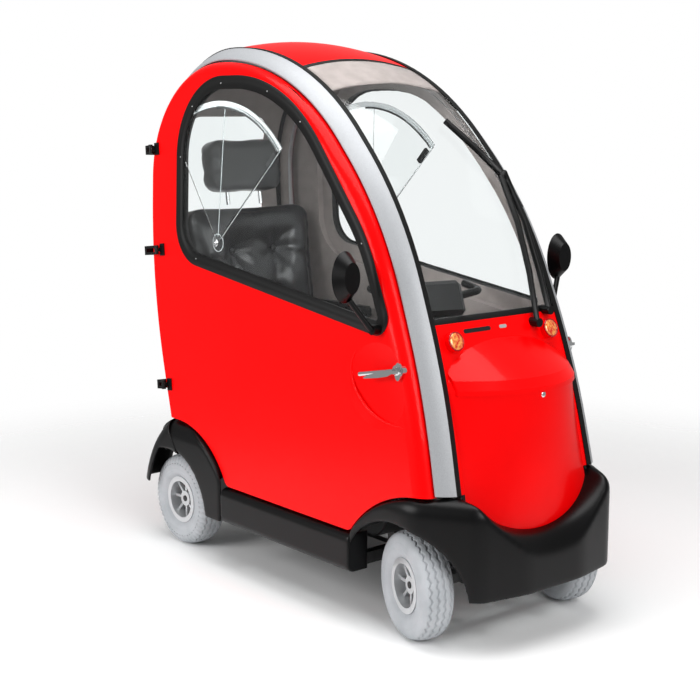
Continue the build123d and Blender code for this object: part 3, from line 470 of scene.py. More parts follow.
# %% Window gaskets and screws
WINDOW_ROWS = [(-583, 989, 130), (-583, 1564, 250), (-14, 1564, 550), (376, 1111, 600), (496, 848, 45)]
GASKET_OUT = 5.0
GASKET_IN = 36.0
GASKET_STAND = (0.2, 2.2)
SCREW_EVERY = 24
SCREW_R = 2.0
SCREW_HIGH = 1.5
window = rounded_outline(WINDOW_ROWS)
screw_line = inset(window, GASKET_IN / 2)[::SCREW_EVERY]
for label, side in SIDES:
    side_band(f"window_gasket_{label}", inset(window, -GASKET_OUT), inset(window, GASKET_IN), *GASKET_STAND,
              side, RUBBER, f"pane_{label}", "black_rubber")
    screws = [(on_side(p.x, p.y, GASKET_STAND[1], side), outward(side), SCREW_R * MM, SCREW_HIGH * MM)
              for p in screw_line]
    studs(f"window_screws_{label}", screws, ALLOY_AND_HIGHLIGHT, f"pane_{label}")
print("gaskets with", len(screw_line), "screws each")

# %% [markdown]
# ## Rubber and lining round the windows
# The rebate that holds the pane is black, and the edge of the wall behind it is lined. Both are faces of the
# door itself, so they only need another material. A face is picked by its place, by its depth below the outer
# face and by whether it looks toward the middle of the window.

# %% Trim the window rebates
RUBBER_INDEX = 2
SURROUND_OUT = 1.5
TRIM_OUT = 100
TRIM_DEPTH = 22.0
FLAT_ON = 0.9  # a face that looks straight sideways belongs to the inner or the outer skin
WINDOW_MIDDLE = Vector((-100, 0, 1150)) * MM
surround = inset(window, -SURROUND_OUT)
trim_edge = inset(window, -TRIM_OUT)


def inside(point, outline):
    """Whether a point lies in a closed outline, by counting the edges to one side of it."""
    crossings = 0
    for p, q in zip(outline, outline[1:] + outline[:1]):
        if (p.y > point.y) != (q.y > point.y):
            crossings += point.x < p.x + (q.x - p.x) * (point.y - p.y) / (q.y - p.y)
    return crossings % 2 == 1


def trim_rebate(door):
    """Blackens the rebate of a door's window and lines the wall behind it."""
    mesh = nodes[door].data
    mesh.materials.append(RUBBER)
    corners = [Vector((v.co.x, v.co.z / math.cos(LEAN))) / MM for v in mesh.vertices]
    in_rebate = [inside(corner, surround) for corner in corners]
    near_window = [inside(corner, trim_edge) for corner in corners]
    for face in mesh.polygons:
        depth = SIDE_HALF - face.center.z / MM * math.tan(LEAN) - abs(face.center.y) / MM
        level_normal = Vector((face.normal.x, 0, face.normal.z))
        toward = (WINDOW_MIDDLE - face.center).dot(level_normal) > 0 and abs(face.normal.y) < FLAT_ON
        if all(in_rebate[i] for i in face.vertices) and depth < TRIM_DEPTH:
            face.material_index = RUBBER_INDEX
        elif all(near_window[i] for i in face.vertices) and depth > TRIM_DEPTH and toward:
            face.material_index = LINING_INDEX


for label, _ in SIDES:
    trim_rebate(f"door_{label}")
print("window rebates trimmed")

# %% [markdown]
# ## Swinging vents
# A quadrant of acrylic swings inside each pane about one bolt. A clear guide strip holds its curved edge,
# with a dark brush seal along the front half and a black latch at the front corner. All of them are flat
# strips, so they are drawn as outlines round the bolt, by angle and radius, and given a thickness.

# %% Vent outlines
VENT_PIVOT = Vector((-359, 1051))


def vent_point(angle, radius):
    """A point round the vent's bolt: degrees up from the front, and mm."""
    return VENT_PIVOT + Vector((math.cos(math.radians(angle)), math.sin(math.radians(angle)))) * radius


def arc_strip(first, last, inner, outer, steps=28):
    """The outline of a curved strip between two angles and two radii."""
    angles = [first + (last - first) * k / steps for k in range(steps + 1)]
    return [vent_point(a, outer) for a in angles] + [vent_point(a, inner) for a in reversed(angles)]


def straight_strip(angle, first, last, width):
    """The outline of a straight strip that runs out from the bolt."""
    along = vent_point(angle, 1.0) - VENT_PIVOT
    half = Vector((-along.y, along.x)) * width / 2
    return [VENT_PIVOT + along * first + half, VENT_PIVOT + along * last + half,
            VENT_PIVOT + along * last - half, VENT_PIVOT + along * first - half]


def plate_faces(count):
    """The faces of a flat plate with count points round each of its two sides."""
    wall = [(i, i + count, (i + 1) % count + count, (i + 1) % count) for i in range(count)]
    return [tuple(range(count)), tuple(reversed(range(count, 2 * count)))] + wall


def side_plate(name, outline, low, high, side, material, like, slot):
    """A flat plate on the door's side, from its outline: stand low to stand high."""
    points = [on_side(p.x, p.y, stand, side) for stand in (low, high) for p in outline]
    return piece(name, points, plate_faces(len(outline)), material, like, flat=True)


print("vent outlines turn about", tuple(VENT_PIVOT))

# %% Vent fittings
VENT_R = 430.0
VENT_FROM, VENT_TO = 43.0, 121.0
VENT_BACK = -9.7
REAR_EDGE_AT = 86
BRUSH_END = 92
EDGE_FROM, EDGE_WIDE, EDGE_THICK = 20, 3, 1.2
HEEL_RADII = (29.0, 26.5)
HEEL_SIDES = 32
BOLT_ROWS = ((0.2, 13, 3), (3, 6, 3))  # stand, radius and height of the washer and of the head
VENT_PARTS = (  # name, outline, thickness, finish, slot
    ("vent_guide", arc_strip(VENT_FROM, VENT_TO, VENT_R - 6, VENT_R + 12), 4, GUIDE, "lamp_lens"),
    ("vent_brush", arc_strip(VENT_FROM + 1, BRUSH_END, VENT_R - 12, VENT_R - 5), 3, CHASSIS_PAINT,
     "black_rubber"),
    ("vent_front_edge", straight_strip(VENT_FROM, EDGE_FROM, VENT_R, EDGE_WIDE), EDGE_THICK, GUIDE,
     "lamp_lens"),
    ("vent_rear_edge", straight_strip(REAR_EDGE_AT, EDGE_FROM, VENT_R, EDGE_WIDE), EDGE_THICK, GUIDE,
     "lamp_lens"),
    ("vent_latch", straight_strip(VENT_FROM + 1.5, VENT_R - 78, VENT_R - 22, 16), 10, BLACK_STEEL,
     "black_steel"),
)
heel, heel_edge = [[VENT_PIVOT + Vector((math.cos(t), math.sin(t))) * radius for t in full_circle(HEEL_SIDES)]
                   for radius in HEEL_RADII]
for label, side in SIDES:
    vent = f"vent_{label}"
    for name, outline, thick, material, slot in VENT_PARTS:
        side_plate(f"{name}_{label}", outline, VENT_BACK - thick, VENT_BACK, side, material, vent, slot)
    side_band(f"vent_heel_{label}", heel, heel_edge, VENT_BACK - EDGE_THICK, VENT_BACK, side, GUIDE, vent,
              "lamp_lens")
    bolt = [(on_side(VENT_PIVOT.x, VENT_PIVOT.y, stand, side), outward(side), radius * MM, high * MM)
            for stand, radius, high in BOLT_ROWS]
    studs(f"vent_bolt_{label}", bolt, CHROME, vent)
print("vent fittings on each side:", len(VENT_PARTS) + 2)

# %% [markdown]
# ## Tyres
# The tyres are pale grey. The front pair has four wavy grooves round the tread, and the rear pair has notched
# shoulders as well. Bump would leave the outline smooth, so the grooves are real: one grid makes both kinds.
# A section is smoothed from the corners of the solid, swept round the axle, and pushed in wherever a groove
# runs.

# %% Tyre section
TYRE_ROWS = [(36, 72), (36, 80), (48, 95), (50, 118), (45, 143), (25, 155)]  # half width, radius
SECTION_STEP = 2.0


def softened_path(corners, rounds=3):
    """An open path with its corners cut again and again until they look round."""
    path = [Vector(corner) for corner in corners]
    for _ in range(rounds):
        cuts = [q for p, r in zip(path, path[1:]) for q in (p.lerp(r, 0.25), p.lerp(r, 0.75))]
        path = [path[0]] + cuts + [path[-1]]
    return path


def tyre_section():
    """The tyre's cross-section as y, radius points, rounded from the solid's corners and evenly spaced."""
    row = softened_path([(-y, r) for y, r in TYRE_ROWS] + [(y, r) for y, r in reversed(TYRE_ROWS)])
    even = [row[0]]
    for a, b in zip(row, row[1:]):
        steps = max(1, round((b - a).length / SECTION_STEP))
        even += [a.lerp(b, k / steps) for k in range(1, steps + 1)]
    return even


print("tyre section:", len(tyre_section()), "points")

# %% Tread pattern
WAVES = 36
WAVE_MM = 3.0
TREAD_FROM_R = 138
GROOVES_Y = (-30.0, -10.0, 10.0, 30.0)
GROOVE_HALF = 2.2
GROOVE_DEEP = 5.0
NOTCHES = 48
NOTCH_SHARE = 0.3
NOTCH_FROM_Y, NOTCH_FROM_R = 34, 126
SIDE_RINGS = (100.0, 112.0, 124.0)
RING_HALF = 1.2
RING_MARK = -0.8


def tread_depth(y, radius, turn, notched):
    """How far the tread is pushed in here, in mm. Less than nothing marks a fine ring in the sidewall."""
    if radius > TREAD_FROM_R:
        wave = WAVE_MM * (2 * abs((turn * WAVES) % 1.0 * 2 - 1) - 1)
        if any(abs(y - groove - wave) < GROOVE_HALF for groove in GROOVES_Y):
            return GROOVE_DEEP
    in_notch = (turn * NOTCHES) % 1.0 < NOTCH_SHARE
    if notched and abs(y) > NOTCH_FROM_Y and radius > NOTCH_FROM_R and in_notch:
        return GROOVE_DEEP
    if any(abs(radius - ring) < RING_HALF for ring in SIDE_RINGS):
        return RING_MARK
    return 0.0


print("tread:", len(GROOVES_Y), "grooves of", WAVES, "waves, and", NOTCHES, "notches at the rear")

# %% Tyre meshes
TURN_STEPS = 288
STEER_REST = math.radians(-16.0)
SIDEWALL_SHARE = 60.0  # a mark of 1 draws the sidewall in by a sixtieth of its half width


def make_tyre(place, label, notched, steer):
    """A treaded tyre in place of a plain one, turned about its upright axis by the steering."""
    node = f"tyre_{place}_{label}"
    low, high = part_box(node)
    centre = (Vector(low) + Vector(high)) / 2
    turned = Matrix.Rotation(steer, 3, "Z")
    section = tyre_section()
    points, faces = [], []
    for k in range(TURN_STEPS):
        angle = 2 * math.pi * k / TURN_STEPS
        for y, radius in section:
            push = tread_depth(y, radius, k / TURN_STEPS, notched)
            if push >= 0:
                spot = Vector((math.cos(angle) * (radius - push), y, math.sin(angle) * (radius - push)))
            else:
                across = y * (1 + push / SIDEWALL_SHARE)
                spot = Vector((math.cos(angle) * radius, across, math.sin(angle) * radius))
            points.append(centre + turned @ (spot * MM))
    width = len(section)
    for k in range(TURN_STEPS):
        a, b = k * width, (k + 1) % TURN_STEPS * width
        faces += [(a + i, b + i, b + (i + 1) % width, a + (i + 1) % width) for i in range(width)]
    tyre = piece(f"treaded_{node}", points, faces, TYRE_RUBBER, node)
    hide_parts(node)


for place, notched, steer in (("front", False, STEER_REST), ("rear", True, 0.0)):
    for label, _ in SIDES:
        make_tyre(place, label, notched, steer)
print("tyres:", TURN_STEPS * len(tyre_section()), "quads each")

# %% [markdown]
# ## Padded leather
# A pad begins as its CAD solid, remeshed into even quads and shrunk a little. Sculpting it by hand would be
# another way, but the cloth solver finds the tension by itself: it blows the pad up with air pressure, while
# the button points stay pinned deep in the foam. No point may move further than a cap. A blown-up pad draws
# its sides in, so the pads that show most begin a little larger.

# %% Even quads and air
CLOTH_FRAMES = 16
AIR_PRESSURE = 6.0
SOLVER_QUALITY = 4
STILL = 1e-9


def even_copy(node, name, voxel, rounds):
    """A remeshed copy of a CAD node as a new object."""
    source = bpy.data.objects.new(name + "_raw", nodes[node].data.copy())
    bpy.context.scene.collection.objects.link(source)
    remesh = source.modifiers.new("even_quads", "REMESH")
    remesh.mode, remesh.voxel_size = "VOXEL", voxel
    smooth = source.modifiers.new("round", "SMOOTH")
    smooth.factor, smooth.iterations = SMOOTHING, rounds
    graph = bpy.context.evaluated_depsgraph_get()
    mesh = bpy.data.meshes.new_from_object(source.evaluated_get(graph), depsgraph=graph)
    bpy.data.objects.remove(source)
    obj = bpy.data.objects.new(name, mesh)
    bpy.context.scene.collection.objects.link(obj)
    return obj


def blow_up(obj, cap, pinned):
    """Runs the cloth solver with pressure and keeps the result, each point within cap of its start."""
    start = [v.co.copy() for v in obj.data.vertices]
    pins = obj.vertex_groups.new(name="buttons")
    pins.add(pinned or [0], 1.0, "REPLACE")  # a pad without buttons is held at one point
    cloth = obj.modifiers.new("air", "CLOTH")
    cloth.settings.use_pressure = True
    cloth.settings.uniform_pressure_force = AIR_PRESSURE
    cloth.settings.quality = SOLVER_QUALITY
    cloth.settings.vertex_group_mass = "buttons"
    cloth.settings.effector_weights.gravity = 0.0
    cloth.point_cache.frame_end = CLOTH_FRAMES
    for frame_number in range(1, CLOTH_FRAMES + 1):
        bpy.context.scene.frame_set(frame_number)
    graph = bpy.context.evaluated_depsgraph_get()
    moved = [v.co.copy() for v in obj.evaluated_get(graph).data.vertices]
    obj.modifiers.remove(cloth)
    bpy.context.scene.frame_set(1)
    for vertex, a, b in zip(obj.data.vertices, start, moved):
        step = b - a
        vertex.co = a + step * min(1.0, cap / max(step.length, STILL))


print("cloth runs for", CLOTH_FRAMES, "frames")

# %% [markdown]
# ## Buttons and folds
# A button pulls the leather into the foam, and short folds run out from it like spokes. The solver's own
# folds are shallow at this size of quad, so a wave round each button deepens them.

# %% Button and fold helpers
BUTTON_DEEP = 26.0 * MM
BUTTON_REACH = 22.0 * MM
BUTTON_PIN = 12.0 * MM
BUTTON_LAYER = 60 * MM
BUTTON_FACING = -0.3
FOLD_COUNT = 7
FOLD_REACH = 90.0 * MM
FOLD_DEEP = 20.0 * MM
FOLD_FACING = -0.2
FOLD_DIMPLE = 0.6
FOLD_SHIFT = 40  # turns the folds of the upper buttons against those of the lower ones


def press_buttons(mesh, buttons, inward):
    """Dents the front of a pad at each button, and lists the points to pin there."""
    pinned = []
    for vertex in mesh.vertices:
        for button in buttons:
            gap = vertex.co - button
            if abs(gap.dot(inward)) < BUTTON_LAYER:
                across = (gap - inward * gap.dot(inward)).length
                if vertex.normal.dot(inward) < BUTTON_FACING:
                    vertex.co += inward * BUTTON_DEEP * math.exp(-(across / BUTTON_REACH) ** 2)
                    if across < BUTTON_PIN:
                        pinned.append(vertex.index)
    return pinned


def draw_folds(mesh, buttons, inward):
    """Pulls the front of a pad into short folds that run out from each button."""
    for vertex in mesh.vertices:
        if vertex.normal.dot(inward) > FOLD_FACING:
            continue
        for button in buttons:
            gap = vertex.co - button
            gap -= inward * gap.dot(inward)
            spread = gap.length / FOLD_REACH
            turn = math.atan2(gap.y, gap.z)
            wave = 0.5 + 0.5 * math.cos(FOLD_COUNT * turn + button.z * FOLD_SHIFT)
            dimple = FOLD_DIMPLE * math.exp(-spread ** 2)
            fold = wave * spread * math.exp(-2 * spread ** 2)
            vertex.co += inward * FOLD_DEEP * (dimple + fold)


print("folds round each button:", FOLD_COUNT)

# %% Leather pads
PAD_VOXEL = 9.0 * MM
PAD_SHRINK = 1.0 * MM
SETTLE_ROUNDS = 3


def pad(node, cap, buttons=(), inward=Vector((0, 0, -1)), grow=(1.0, 1.0, 1.0), rounds=5):
    """A padded leather piece in place of a CAD node, buttoned at points on its face."""
    obj = even_copy(node, f"leather_{node}", PAD_VOXEL, rounds)
    mesh = obj.data
    low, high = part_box(node)
    middle = (Vector(low) + Vector(high)) / 2
    for vertex in mesh.vertices:
        vertex.co = middle + (vertex.co - middle) * Vector(grow)
    for vertex, normal in zip(mesh.vertices, [v.normal.copy() for v in mesh.vertices]):
        vertex.co -= normal * PAD_SHRINK
    pinned = press_buttons(mesh, buttons, inward)
    blow_up(obj, cap, pinned)
    if buttons:
        draw_folds(mesh, buttons, inward)
    mesh.materials.clear()
    mesh.materials.append(LEATHER)
    for face in mesh.polygons:
        face.use_smooth = True
    settle = obj.modifiers.new("settled", "SMOOTH")
    settle.factor, settle.iterations = SMOOTHING, SETTLE_ROUNDS
    soft = obj.modifiers.new("finer", "SUBSURF")
    soft.levels = soft.render_levels = 1
    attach(obj, carrier[node])
    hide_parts(node)
    return obj


BACK_TILT = math.radians(9.0)
BACK_FRONT = Vector((-515, 0, 530)) * MM
BUTTON_ROWS = [(-86, 255), (86, 255), (-86, 469), (86, 469)]  # y, and the way up the seat back
BACK_CAP, CUSHION_CAP, HEAD_CAP = 22 * MM, 14 * MM, 5 * MM
BACK_GROW = (1.0, 1.12, 1.02)
HEAD_GROW = (1.05, 1.08, 1.06)
HEAD_ROUNDS = 14
back_in = Vector((-math.cos(BACK_TILT), 0, -math.sin(BACK_TILT)))
back_up = Vector((-math.sin(BACK_TILT), 0, math.cos(BACK_TILT)))
back_buttons = [BACK_FRONT + back_up * up * MM + Vector((0, y * MM, 0)) for y, up in BUTTON_ROWS]
pad("seat_back", BACK_CAP, back_buttons, back_in, BACK_GROW)
pad("seat_cushion", CUSHION_CAP)
pad("headrest", HEAD_CAP, grow=HEAD_GROW, rounds=HEAD_ROUNDS)
print("leather pads in place of the seat cushion, the seat back and the headrest")

# %% Seat buttons
BUTTON_R = 11.0 * MM
BUTTON_HIGH = 6 * MM
BUTTON_SINK = BUTTON_DEEP + PAD_SHRINK * 0.2
seat_buttons = [(spot + back_in * BUTTON_SINK, -back_in, BUTTON_R, BUTTON_HIGH) for spot in back_buttons]
studs("seat_buttons", seat_buttons, LEATHER, "seat_back")
print("buttons on the seat back:", len(back_buttons))

# %% [markdown]
# ## Rear wing flares
# The wing over each rear wheel swells into a round flare. Seen from the side its outline is one arc, and in
# section it turns from the top of the wing over a round shoulder into a flat skirt, down to the wheel arch.
# That is one section swept along the arc, with its lower end cut by the arch. A small web closes the corner
# between the wing's front end and the sill.

# %% Flare section
FLARE_CENTRE = Vector((-418, 135))
FLARE_R = 364.0
FLARE_HALF = 374.0
FLARE_INNER_Y = 262.0
SHOULDER_R = 46.0
LEAST_SKIRT = 2
TOP_STEPS, BEND_STEPS, SKIRT_STEPS = 4, 8, 5
ARCH_CENTRE = Vector((-602, 133))
ARCH_R = 211.0


def arch_distance(ray):
    """How far along a ray from the flare's centre the wheel arch's far edge lies."""
    gap = ARCH_CENTRE - FLARE_CENTRE
    along = gap.dot(ray)
    return along + math.sqrt(max(0.0, ARCH_R ** 2 - gap.length_squared + along ** 2))


def flare_section(ray):
    """The flare's section along a ray as radius, y: over the top, round the shoulder, down the skirt."""
    low = min(arch_distance(ray), FLARE_R - SHOULDER_R - LEAST_SKIRT)
    top = FLARE_HALF - SHOULDER_R - FLARE_INNER_Y
    row = [(FLARE_R, FLARE_INNER_Y + top * i / TOP_STEPS) for i in range(TOP_STEPS)]
    for i in range(BEND_STEPS + 1):
        bend = math.pi / 2 * i / BEND_STEPS
        row.append((FLARE_R - SHOULDER_R * (1 - math.cos(bend)),
                    FLARE_HALF - SHOULDER_R * (1 - math.sin(bend))))
    drop = low - FLARE_R + SHOULDER_R
    row += [(FLARE_R - SHOULDER_R + drop * i / SKIRT_STEPS, FLARE_HALF) for i in range(1, SKIRT_STEPS + 1)]
    return row


print("flare section:", TOP_STEPS + BEND_STEPS + 1 + SKIRT_STEPS, "points")

# %% Rear wing flares and webs
FLARE_FROM, FLARE_TO = 123.0, 167.0
FLARE_STEPS = 40
FLARE_WALL = 6.0
WEB_OUTLINE = [Vector(corner) for corner in ((-440, 215), (-320, 215), (-320, 300), (-440, 300))]
WEB_STAND = (-62, -59)


def make_flare(label, side):
    """The flare over one rear wheel, swept along its arc and given a wall."""
    points, faces = [], []
    for k in range(FLARE_STEPS + 1):
        angle = math.radians(FLARE_FROM + (FLARE_TO - FLARE_FROM) * k / FLARE_STEPS)
        ray = Vector((math.cos(angle), math.sin(angle)))
        row = flare_section(ray)
        for radius, y in row:
            spot = FLARE_CENTRE + ray * radius
            points.append(Vector((spot.x, side * y, spot.y)) * MM)
    width = len(row)
    for k in range(FLARE_STEPS):
        for i in range(width - 1):
            a, b = k * width + i, (k + 1) * width + i
            faces.append((a, b, b + 1, a + 1) if side < 0 else (a, a + 1, b + 1, b))
    flare = piece(f"wing_flare_{label}", points, faces, BLACK_ABS, "rear_skirt")
    wall = flare.modifiers.new("wall", "SOLIDIFY")
    wall.thickness, wall.offset = FLARE_WALL * MM, -1.0


for label, side in SIDES:
    make_flare(label, side)
    side_plate(f"wing_web_{label}", WEB_OUTLINE, *WEB_STAND, side, BLACK_ABS, "sills", "black_abs")
print("rear wing flares:", FLARE_STEPS, "steps each")

# %% [markdown]
# ## Trim cut from the screen itself
# Where the screen meets the roof there is a black finisher, along its foot runs a seal, and behind its top
# sits the lined header. All three follow a curved sheet that would be hard to draw again, so each starts as a
# copy of that sheet, cut to a strip by planes and moved a little in or out along its normals.

# %% Screen finisher, seal and header
FORWARD, UP = Vector((1, 0, 0)), Vector((0, 0, 1))
FINISHER_BACK = -46 * MM
HEADER_END = 80 * MM
SCREEN_FOOT = 900 * MM
FINISHER_PROUD, SEAL_PROUD, HEADER_SUNK = 1.5, 1.2, -1.0
SAME_SPOT = 1e-5


def cut_copy(name, node, planes, grow, material):
    """A strip of a CAD node: what lies behind every plane (point, normal), grown by some mm."""
    mesh = bpy.data.meshes.new(name)
    shape = bmesh.new()
    shape.from_mesh(nodes[node].data)
    bmesh.ops.remove_doubles(shape, verts=shape.verts, dist=SAME_SPOT)
    for point, normal in planes:
        everything = shape.verts[:] + shape.edges[:] + shape.faces[:]
        bmesh.ops.bisect_plane(shape, geom=everything, plane_co=point, plane_no=normal, clear_outer=True)
        bmesh.ops.holes_fill(shape, edges=[e for e in shape.edges if e.is_boundary])
    bmesh.ops.recalc_face_normals(shape, faces=shape.faces)
    shape.normal_update()
    for vertex in shape.verts:
        vertex.co += vertex.normal * grow * MM
    shape.to_mesh(mesh)
    shape.free()
    mesh.materials.clear()
    mesh.materials.append(material)
    obj = bpy.data.objects.new(name, mesh)
    bpy.context.scene.collection.objects.link(obj)
    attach(obj, carrier[node])


cut_copy("roof_finisher", "windscreen", [(FORWARD * FINISHER_BACK, FORWARD)], FINISHER_PROUD, RUBBER)
cut_copy("screen_foot_seal", "windscreen", [(UP * SCREEN_FOOT, UP)], SEAL_PROUD, RUBBER)
cut_copy("header_lining", "windscreen",
         [(FORWARD * HEADER_END, FORWARD), (FORWARD * FINISHER_BACK, -FORWARD)], HEADER_SUNK, LINING)
print("finisher, seal and header cut from the screen")

# %% [markdown]
# ## Door furniture
# The lever of each door handle is a spear-shaped chrome casting that runs back from its tall oval plate.
# The dish behind it has a rolled lip, which catches the light along its lower edge. Castings and plates are
# flat outlines with a thickness, and the lip is a bead swept along a path.

# %% Dish lip
LIP_CORNERS = [(341, 802), (323, 766), (324, 732), (341, 694), (369, 667), (409, 637), (469, 619), (547, 616)]
LIP_R = 4.0
LIP_RISE = 0.7


def dish_lip(name, path, side, like, sides=10):
    """A low round bead along a path on the door's face, thin at both ends."""
    points, faces = [], []
    for k, spot in enumerate(path):
        along = (path[min(k + 1, len(path) - 1)] - path[max(k - 1, 0)]).normalized()
        across = Vector((-along.y, along.x))
        thick = LIP_R * math.sqrt(math.sin(math.pi * (k + 0.5) / len(path)))
        for angle in full_circle(sides):
            flat = spot + across * thick * math.cos(angle)
            points.append(on_side(flat.x, flat.y, thick * LIP_RISE * math.sin(angle), side))
    for k in range(len(path) - 1):
        low, high = k * sides, (k + 1) * sides
        faces += [(low + s, low + (s + 1) % sides, high + (s + 1) % sides, high + s) for s in range(sides)]
    return piece(name, points, faces, RED, like)


lip_path = softened_path(LIP_CORNERS)
print("dish lip:", len(lip_path), "points along its path")

# %% Handle castings, plates and lips
BLADE_OUTLINE = [(531, 772), (482, 768), (449, 755), (404, 737), (406, 733), (467, 744), (503, 753),
                 (519, 762), (531, 764)]
BLADE_STAND = (11.0, 24.5)
PLATE_MIDDLE = Vector((524, 767))
PLATE_HALF = (13.0, 25.0)
PLATE_SIDES = 32
PLATE_STAND = (0.3, 6.0)
blade = [Vector(corner) for corner in BLADE_OUTLINE]
oval = [PLATE_MIDDLE + Vector((PLATE_HALF[0] * math.cos(t), PLATE_HALF[1] * math.sin(t)))
        for t in full_circle(PLATE_SIDES)]
for label, side in SIDES:
    handle = f"handle_{label}"
    side_plate(f"handle_blade_{label}", blade, *BLADE_STAND, side, CHROME, handle, "chrome_plate")
    side_plate(f"handle_plate_{label}", oval, *PLATE_STAND, side, CHROME, handle, "chrome_plate")
    dish_lip(f"dish_lip_{label}", lip_path, side, f"door_{label}")
print("handle castings, plates and dish lips on both doors")

# %% [markdown]
# ## Front lamps
# Each front lamp is a mottled amber reflector in a red bezel. The lens would add little but dark reflections
# at this size, so the reflector is a low dome with a glossy coat, and the bezel is a ring of tube round it.

# %% Lamps
LAMP_AXIS = Vector((64, 0, 24)).normalized()
LAMP_FRONT = (589, 190, 842)
REFLECTOR_PROUD, REFLECTOR_R, REFLECTOR_HIGH = 0.2 * MM, 25 * MM, 5 * MM
REFLECTOR_SIDES = 32
BEZEL_PROUD, BEZEL_R, BEZEL_THICK = 1.0 * MM, 25.5 * MM, 2.2 * MM


def ring_tube(name, rows, thick, material, like, turns=40, sides=10):
    """Round rings of tube in one mesh: each row is centre, axis and radius, in metres."""
    points, faces = [], []
    for centre, axis, radius in rows:
        across = axis.orthogonal().normalized()
        other = axis.cross(across)
        base = len(points)
        for turn in full_circle(turns):
            spoke = across * math.cos(turn) + other * math.sin(turn)
            for angle in full_circle(sides):
                reach = radius + thick * math.cos(angle)
                points.append(centre + spoke * reach + axis * thick * math.sin(angle))
        for k in range(turns):
            a, b = base + k * sides, base + (k + 1) % turns * sides
            faces += [(a + s, b + s, b + (s + 1) % sides, a + (s + 1) % sides) for s in range(sides)]
    return piece(name, points, faces, material, like)


lamp_spots = [Vector((LAMP_FRONT[0], side * LAMP_FRONT[1], LAMP_FRONT[2])) * MM for _, side in SIDES]
reflectors = [(spot + LAMP_AXIS * REFLECTOR_PROUD, LAMP_AXIS, REFLECTOR_R, REFLECTOR_HIGH)
              for spot in lamp_spots]
studs("lamp_reflectors", reflectors, AMBER, "headlamps", sides=REFLECTOR_SIDES)
ring_tube("lamp_rings", [(spot + LAMP_AXIS * BEZEL_PROUD, LAMP_AXIS, BEZEL_R) for spot in lamp_spots],
          BEZEL_THICK, RED_LENS, "headlamps")
print("front lamps:", len(lamp_spots))

# %% [markdown]
# ## Nose slot, lock and mirrors
# Above the bonnet the nose has a long slot, and beside it a painted highlight drawn as a small pale plate.
# The slot's shade is painted as a matt black plate. Both plates are thin, with round ends on the sloping top.
# The lock sits in the middle of the nose, under the bonnet's edge. The mirror glasses are flat ovals that
# face backwards.

# %% Painted slot shade and painted highlight on the nose
NOSE_TOP = Vector((563.9, 0, 861)) * MM
NOSE_UP = Vector((0, -1, 0)).cross(LAMP_AXIS)
PILL_STEPS = 12
PILL_THICK = 0.8
PILLS = (  # name, first and last y, height, finish, slot
    # Painted shade: a matt black plate where the inside of the slot lies in shade.
    ("slot_shade_on_nose", -138, -33, 12, PAINTED_SLOT_SHADE, "black_abs"),
    # Painted highlight: a pale plate where a bright highlight lies on the top of the nose.
    ("nose_highlight_plate", 2, 31, 10, ALLOY_AND_HIGHLIGHT, "chrome_plate"),
)
half_circle = [math.pi * k / PILL_STEPS for k in range(PILL_STEPS + 1)]


def nose_pill(name, first, last, tall, material, slot):
    """A flat plate with round ends on the sloping top of the nose, between two points along Y."""
    half = tall / 2
    rim = [(last - half + half * math.sin(t), half * math.cos(t)) for t in half_circle]
    rim += [(first + half - half * math.sin(t), -half * math.cos(t)) for t in half_circle]
    points = [NOSE_TOP + LAMP_AXIS * stand * MM + Vector((0, y, 0)) * MM + NOSE_UP * up * MM
              for stand in (0.0, PILL_THICK) for y, up in rim]
    return piece(name, points, plate_faces(len(rim)), material, "nose_base", flat=True)


for pill in PILLS:
    nose_pill(*pill)
print("plates on the nose:", len(PILLS))

# %% Lock and mirror glasses
LOCK_AT = Vector((739, 0, 694)) * MM
LOCK_R, LOCK_HIGH, LOCK_SIDES = 9 * MM, 3 * MM, 24
MIRROR_AT = (395.6, 425, 1018)
MIRROR_HALF = (62, 38)
MIRROR_SIDES = 40
studs("bonnet_lock", [(LOCK_AT, FORWARD, LOCK_R, LOCK_HIGH)], CHROME, "nose_shield",
      sides=LOCK_SIDES)
for label, side in SIDES:
    rim = [Vector((MIRROR_AT[0], side * MIRROR_AT[1] + MIRROR_HALF[1] * math.cos(t),
                   MIRROR_AT[2] + MIRROR_HALF[0] * math.sin(t))) * MM for t in full_circle(MIRROR_SIDES)]
    piece(f"mirror_glass_{label}", rim, [tuple(range(MIRROR_SIDES))], CHROME, f"mirror_{label}",
          flat=True)
print("lock and mirror glasses")

# %% [markdown]
# ## Camera
# The camera stands off the scooter's right front corner, a little below the roof, with a short telephoto
# lens. Its place and angles come from matching the wheels and the paired details, so they are written as
# numbers.

# %% Camera
IMAGE_PX = 700
FOCAL_PX = 1380.0
SENSOR_MM = 36.0
CAMERA_AT = Vector((3.2561, -2.783, 1.4659))
CAMERA_AZIMUTH = math.radians(50.272)
CAMERA_RISE = math.radians(9.902)


def studio_camera():
    """A camera at its place, turned by its azimuth and its height angle."""
    data = bpy.data.cameras.new("photo_camera")
    data.sensor_width = SENSOR_MM
    data.lens = FOCAL_PX * SENSOR_MM / IMAGE_PX
    camera = bpy.data.objects.new("photo_camera", data)
    back = Vector((math.sin(CAMERA_AZIMUTH) * math.cos(CAMERA_RISE),
                   -math.cos(CAMERA_AZIMUTH) * math.cos(CAMERA_RISE), math.sin(CAMERA_RISE)))
    right = Vector((math.cos(CAMERA_AZIMUTH), math.sin(CAMERA_AZIMUTH), 0))
    up = back.cross(right)
    turn = Matrix((right, up, back)).transposed().to_4x4()
    camera.matrix_world = Matrix.Translation(CAMERA_AT) @ turn
    bpy.context.scene.collection.objects.link(camera)
    bpy.context.scene.camera = camera


studio_camera()
print("camera lens:", round(bpy.context.scene.camera.data.lens, 1), "mm")

# %% [markdown]
# ## Floor and world
# The floor is matt white and fades out toward its rim, so that it has no edge against the white world. The
# world is white where the camera sees it, also through a window, and dimmer where it lights the scooter, so
# that pale pieces keep their colour.

# %% Floor
FLOOR_FULL_R = 1.3
FLOOR_FADE_R = 3.2
FLOOR_SIDES = 96
FADE_END = 0.95


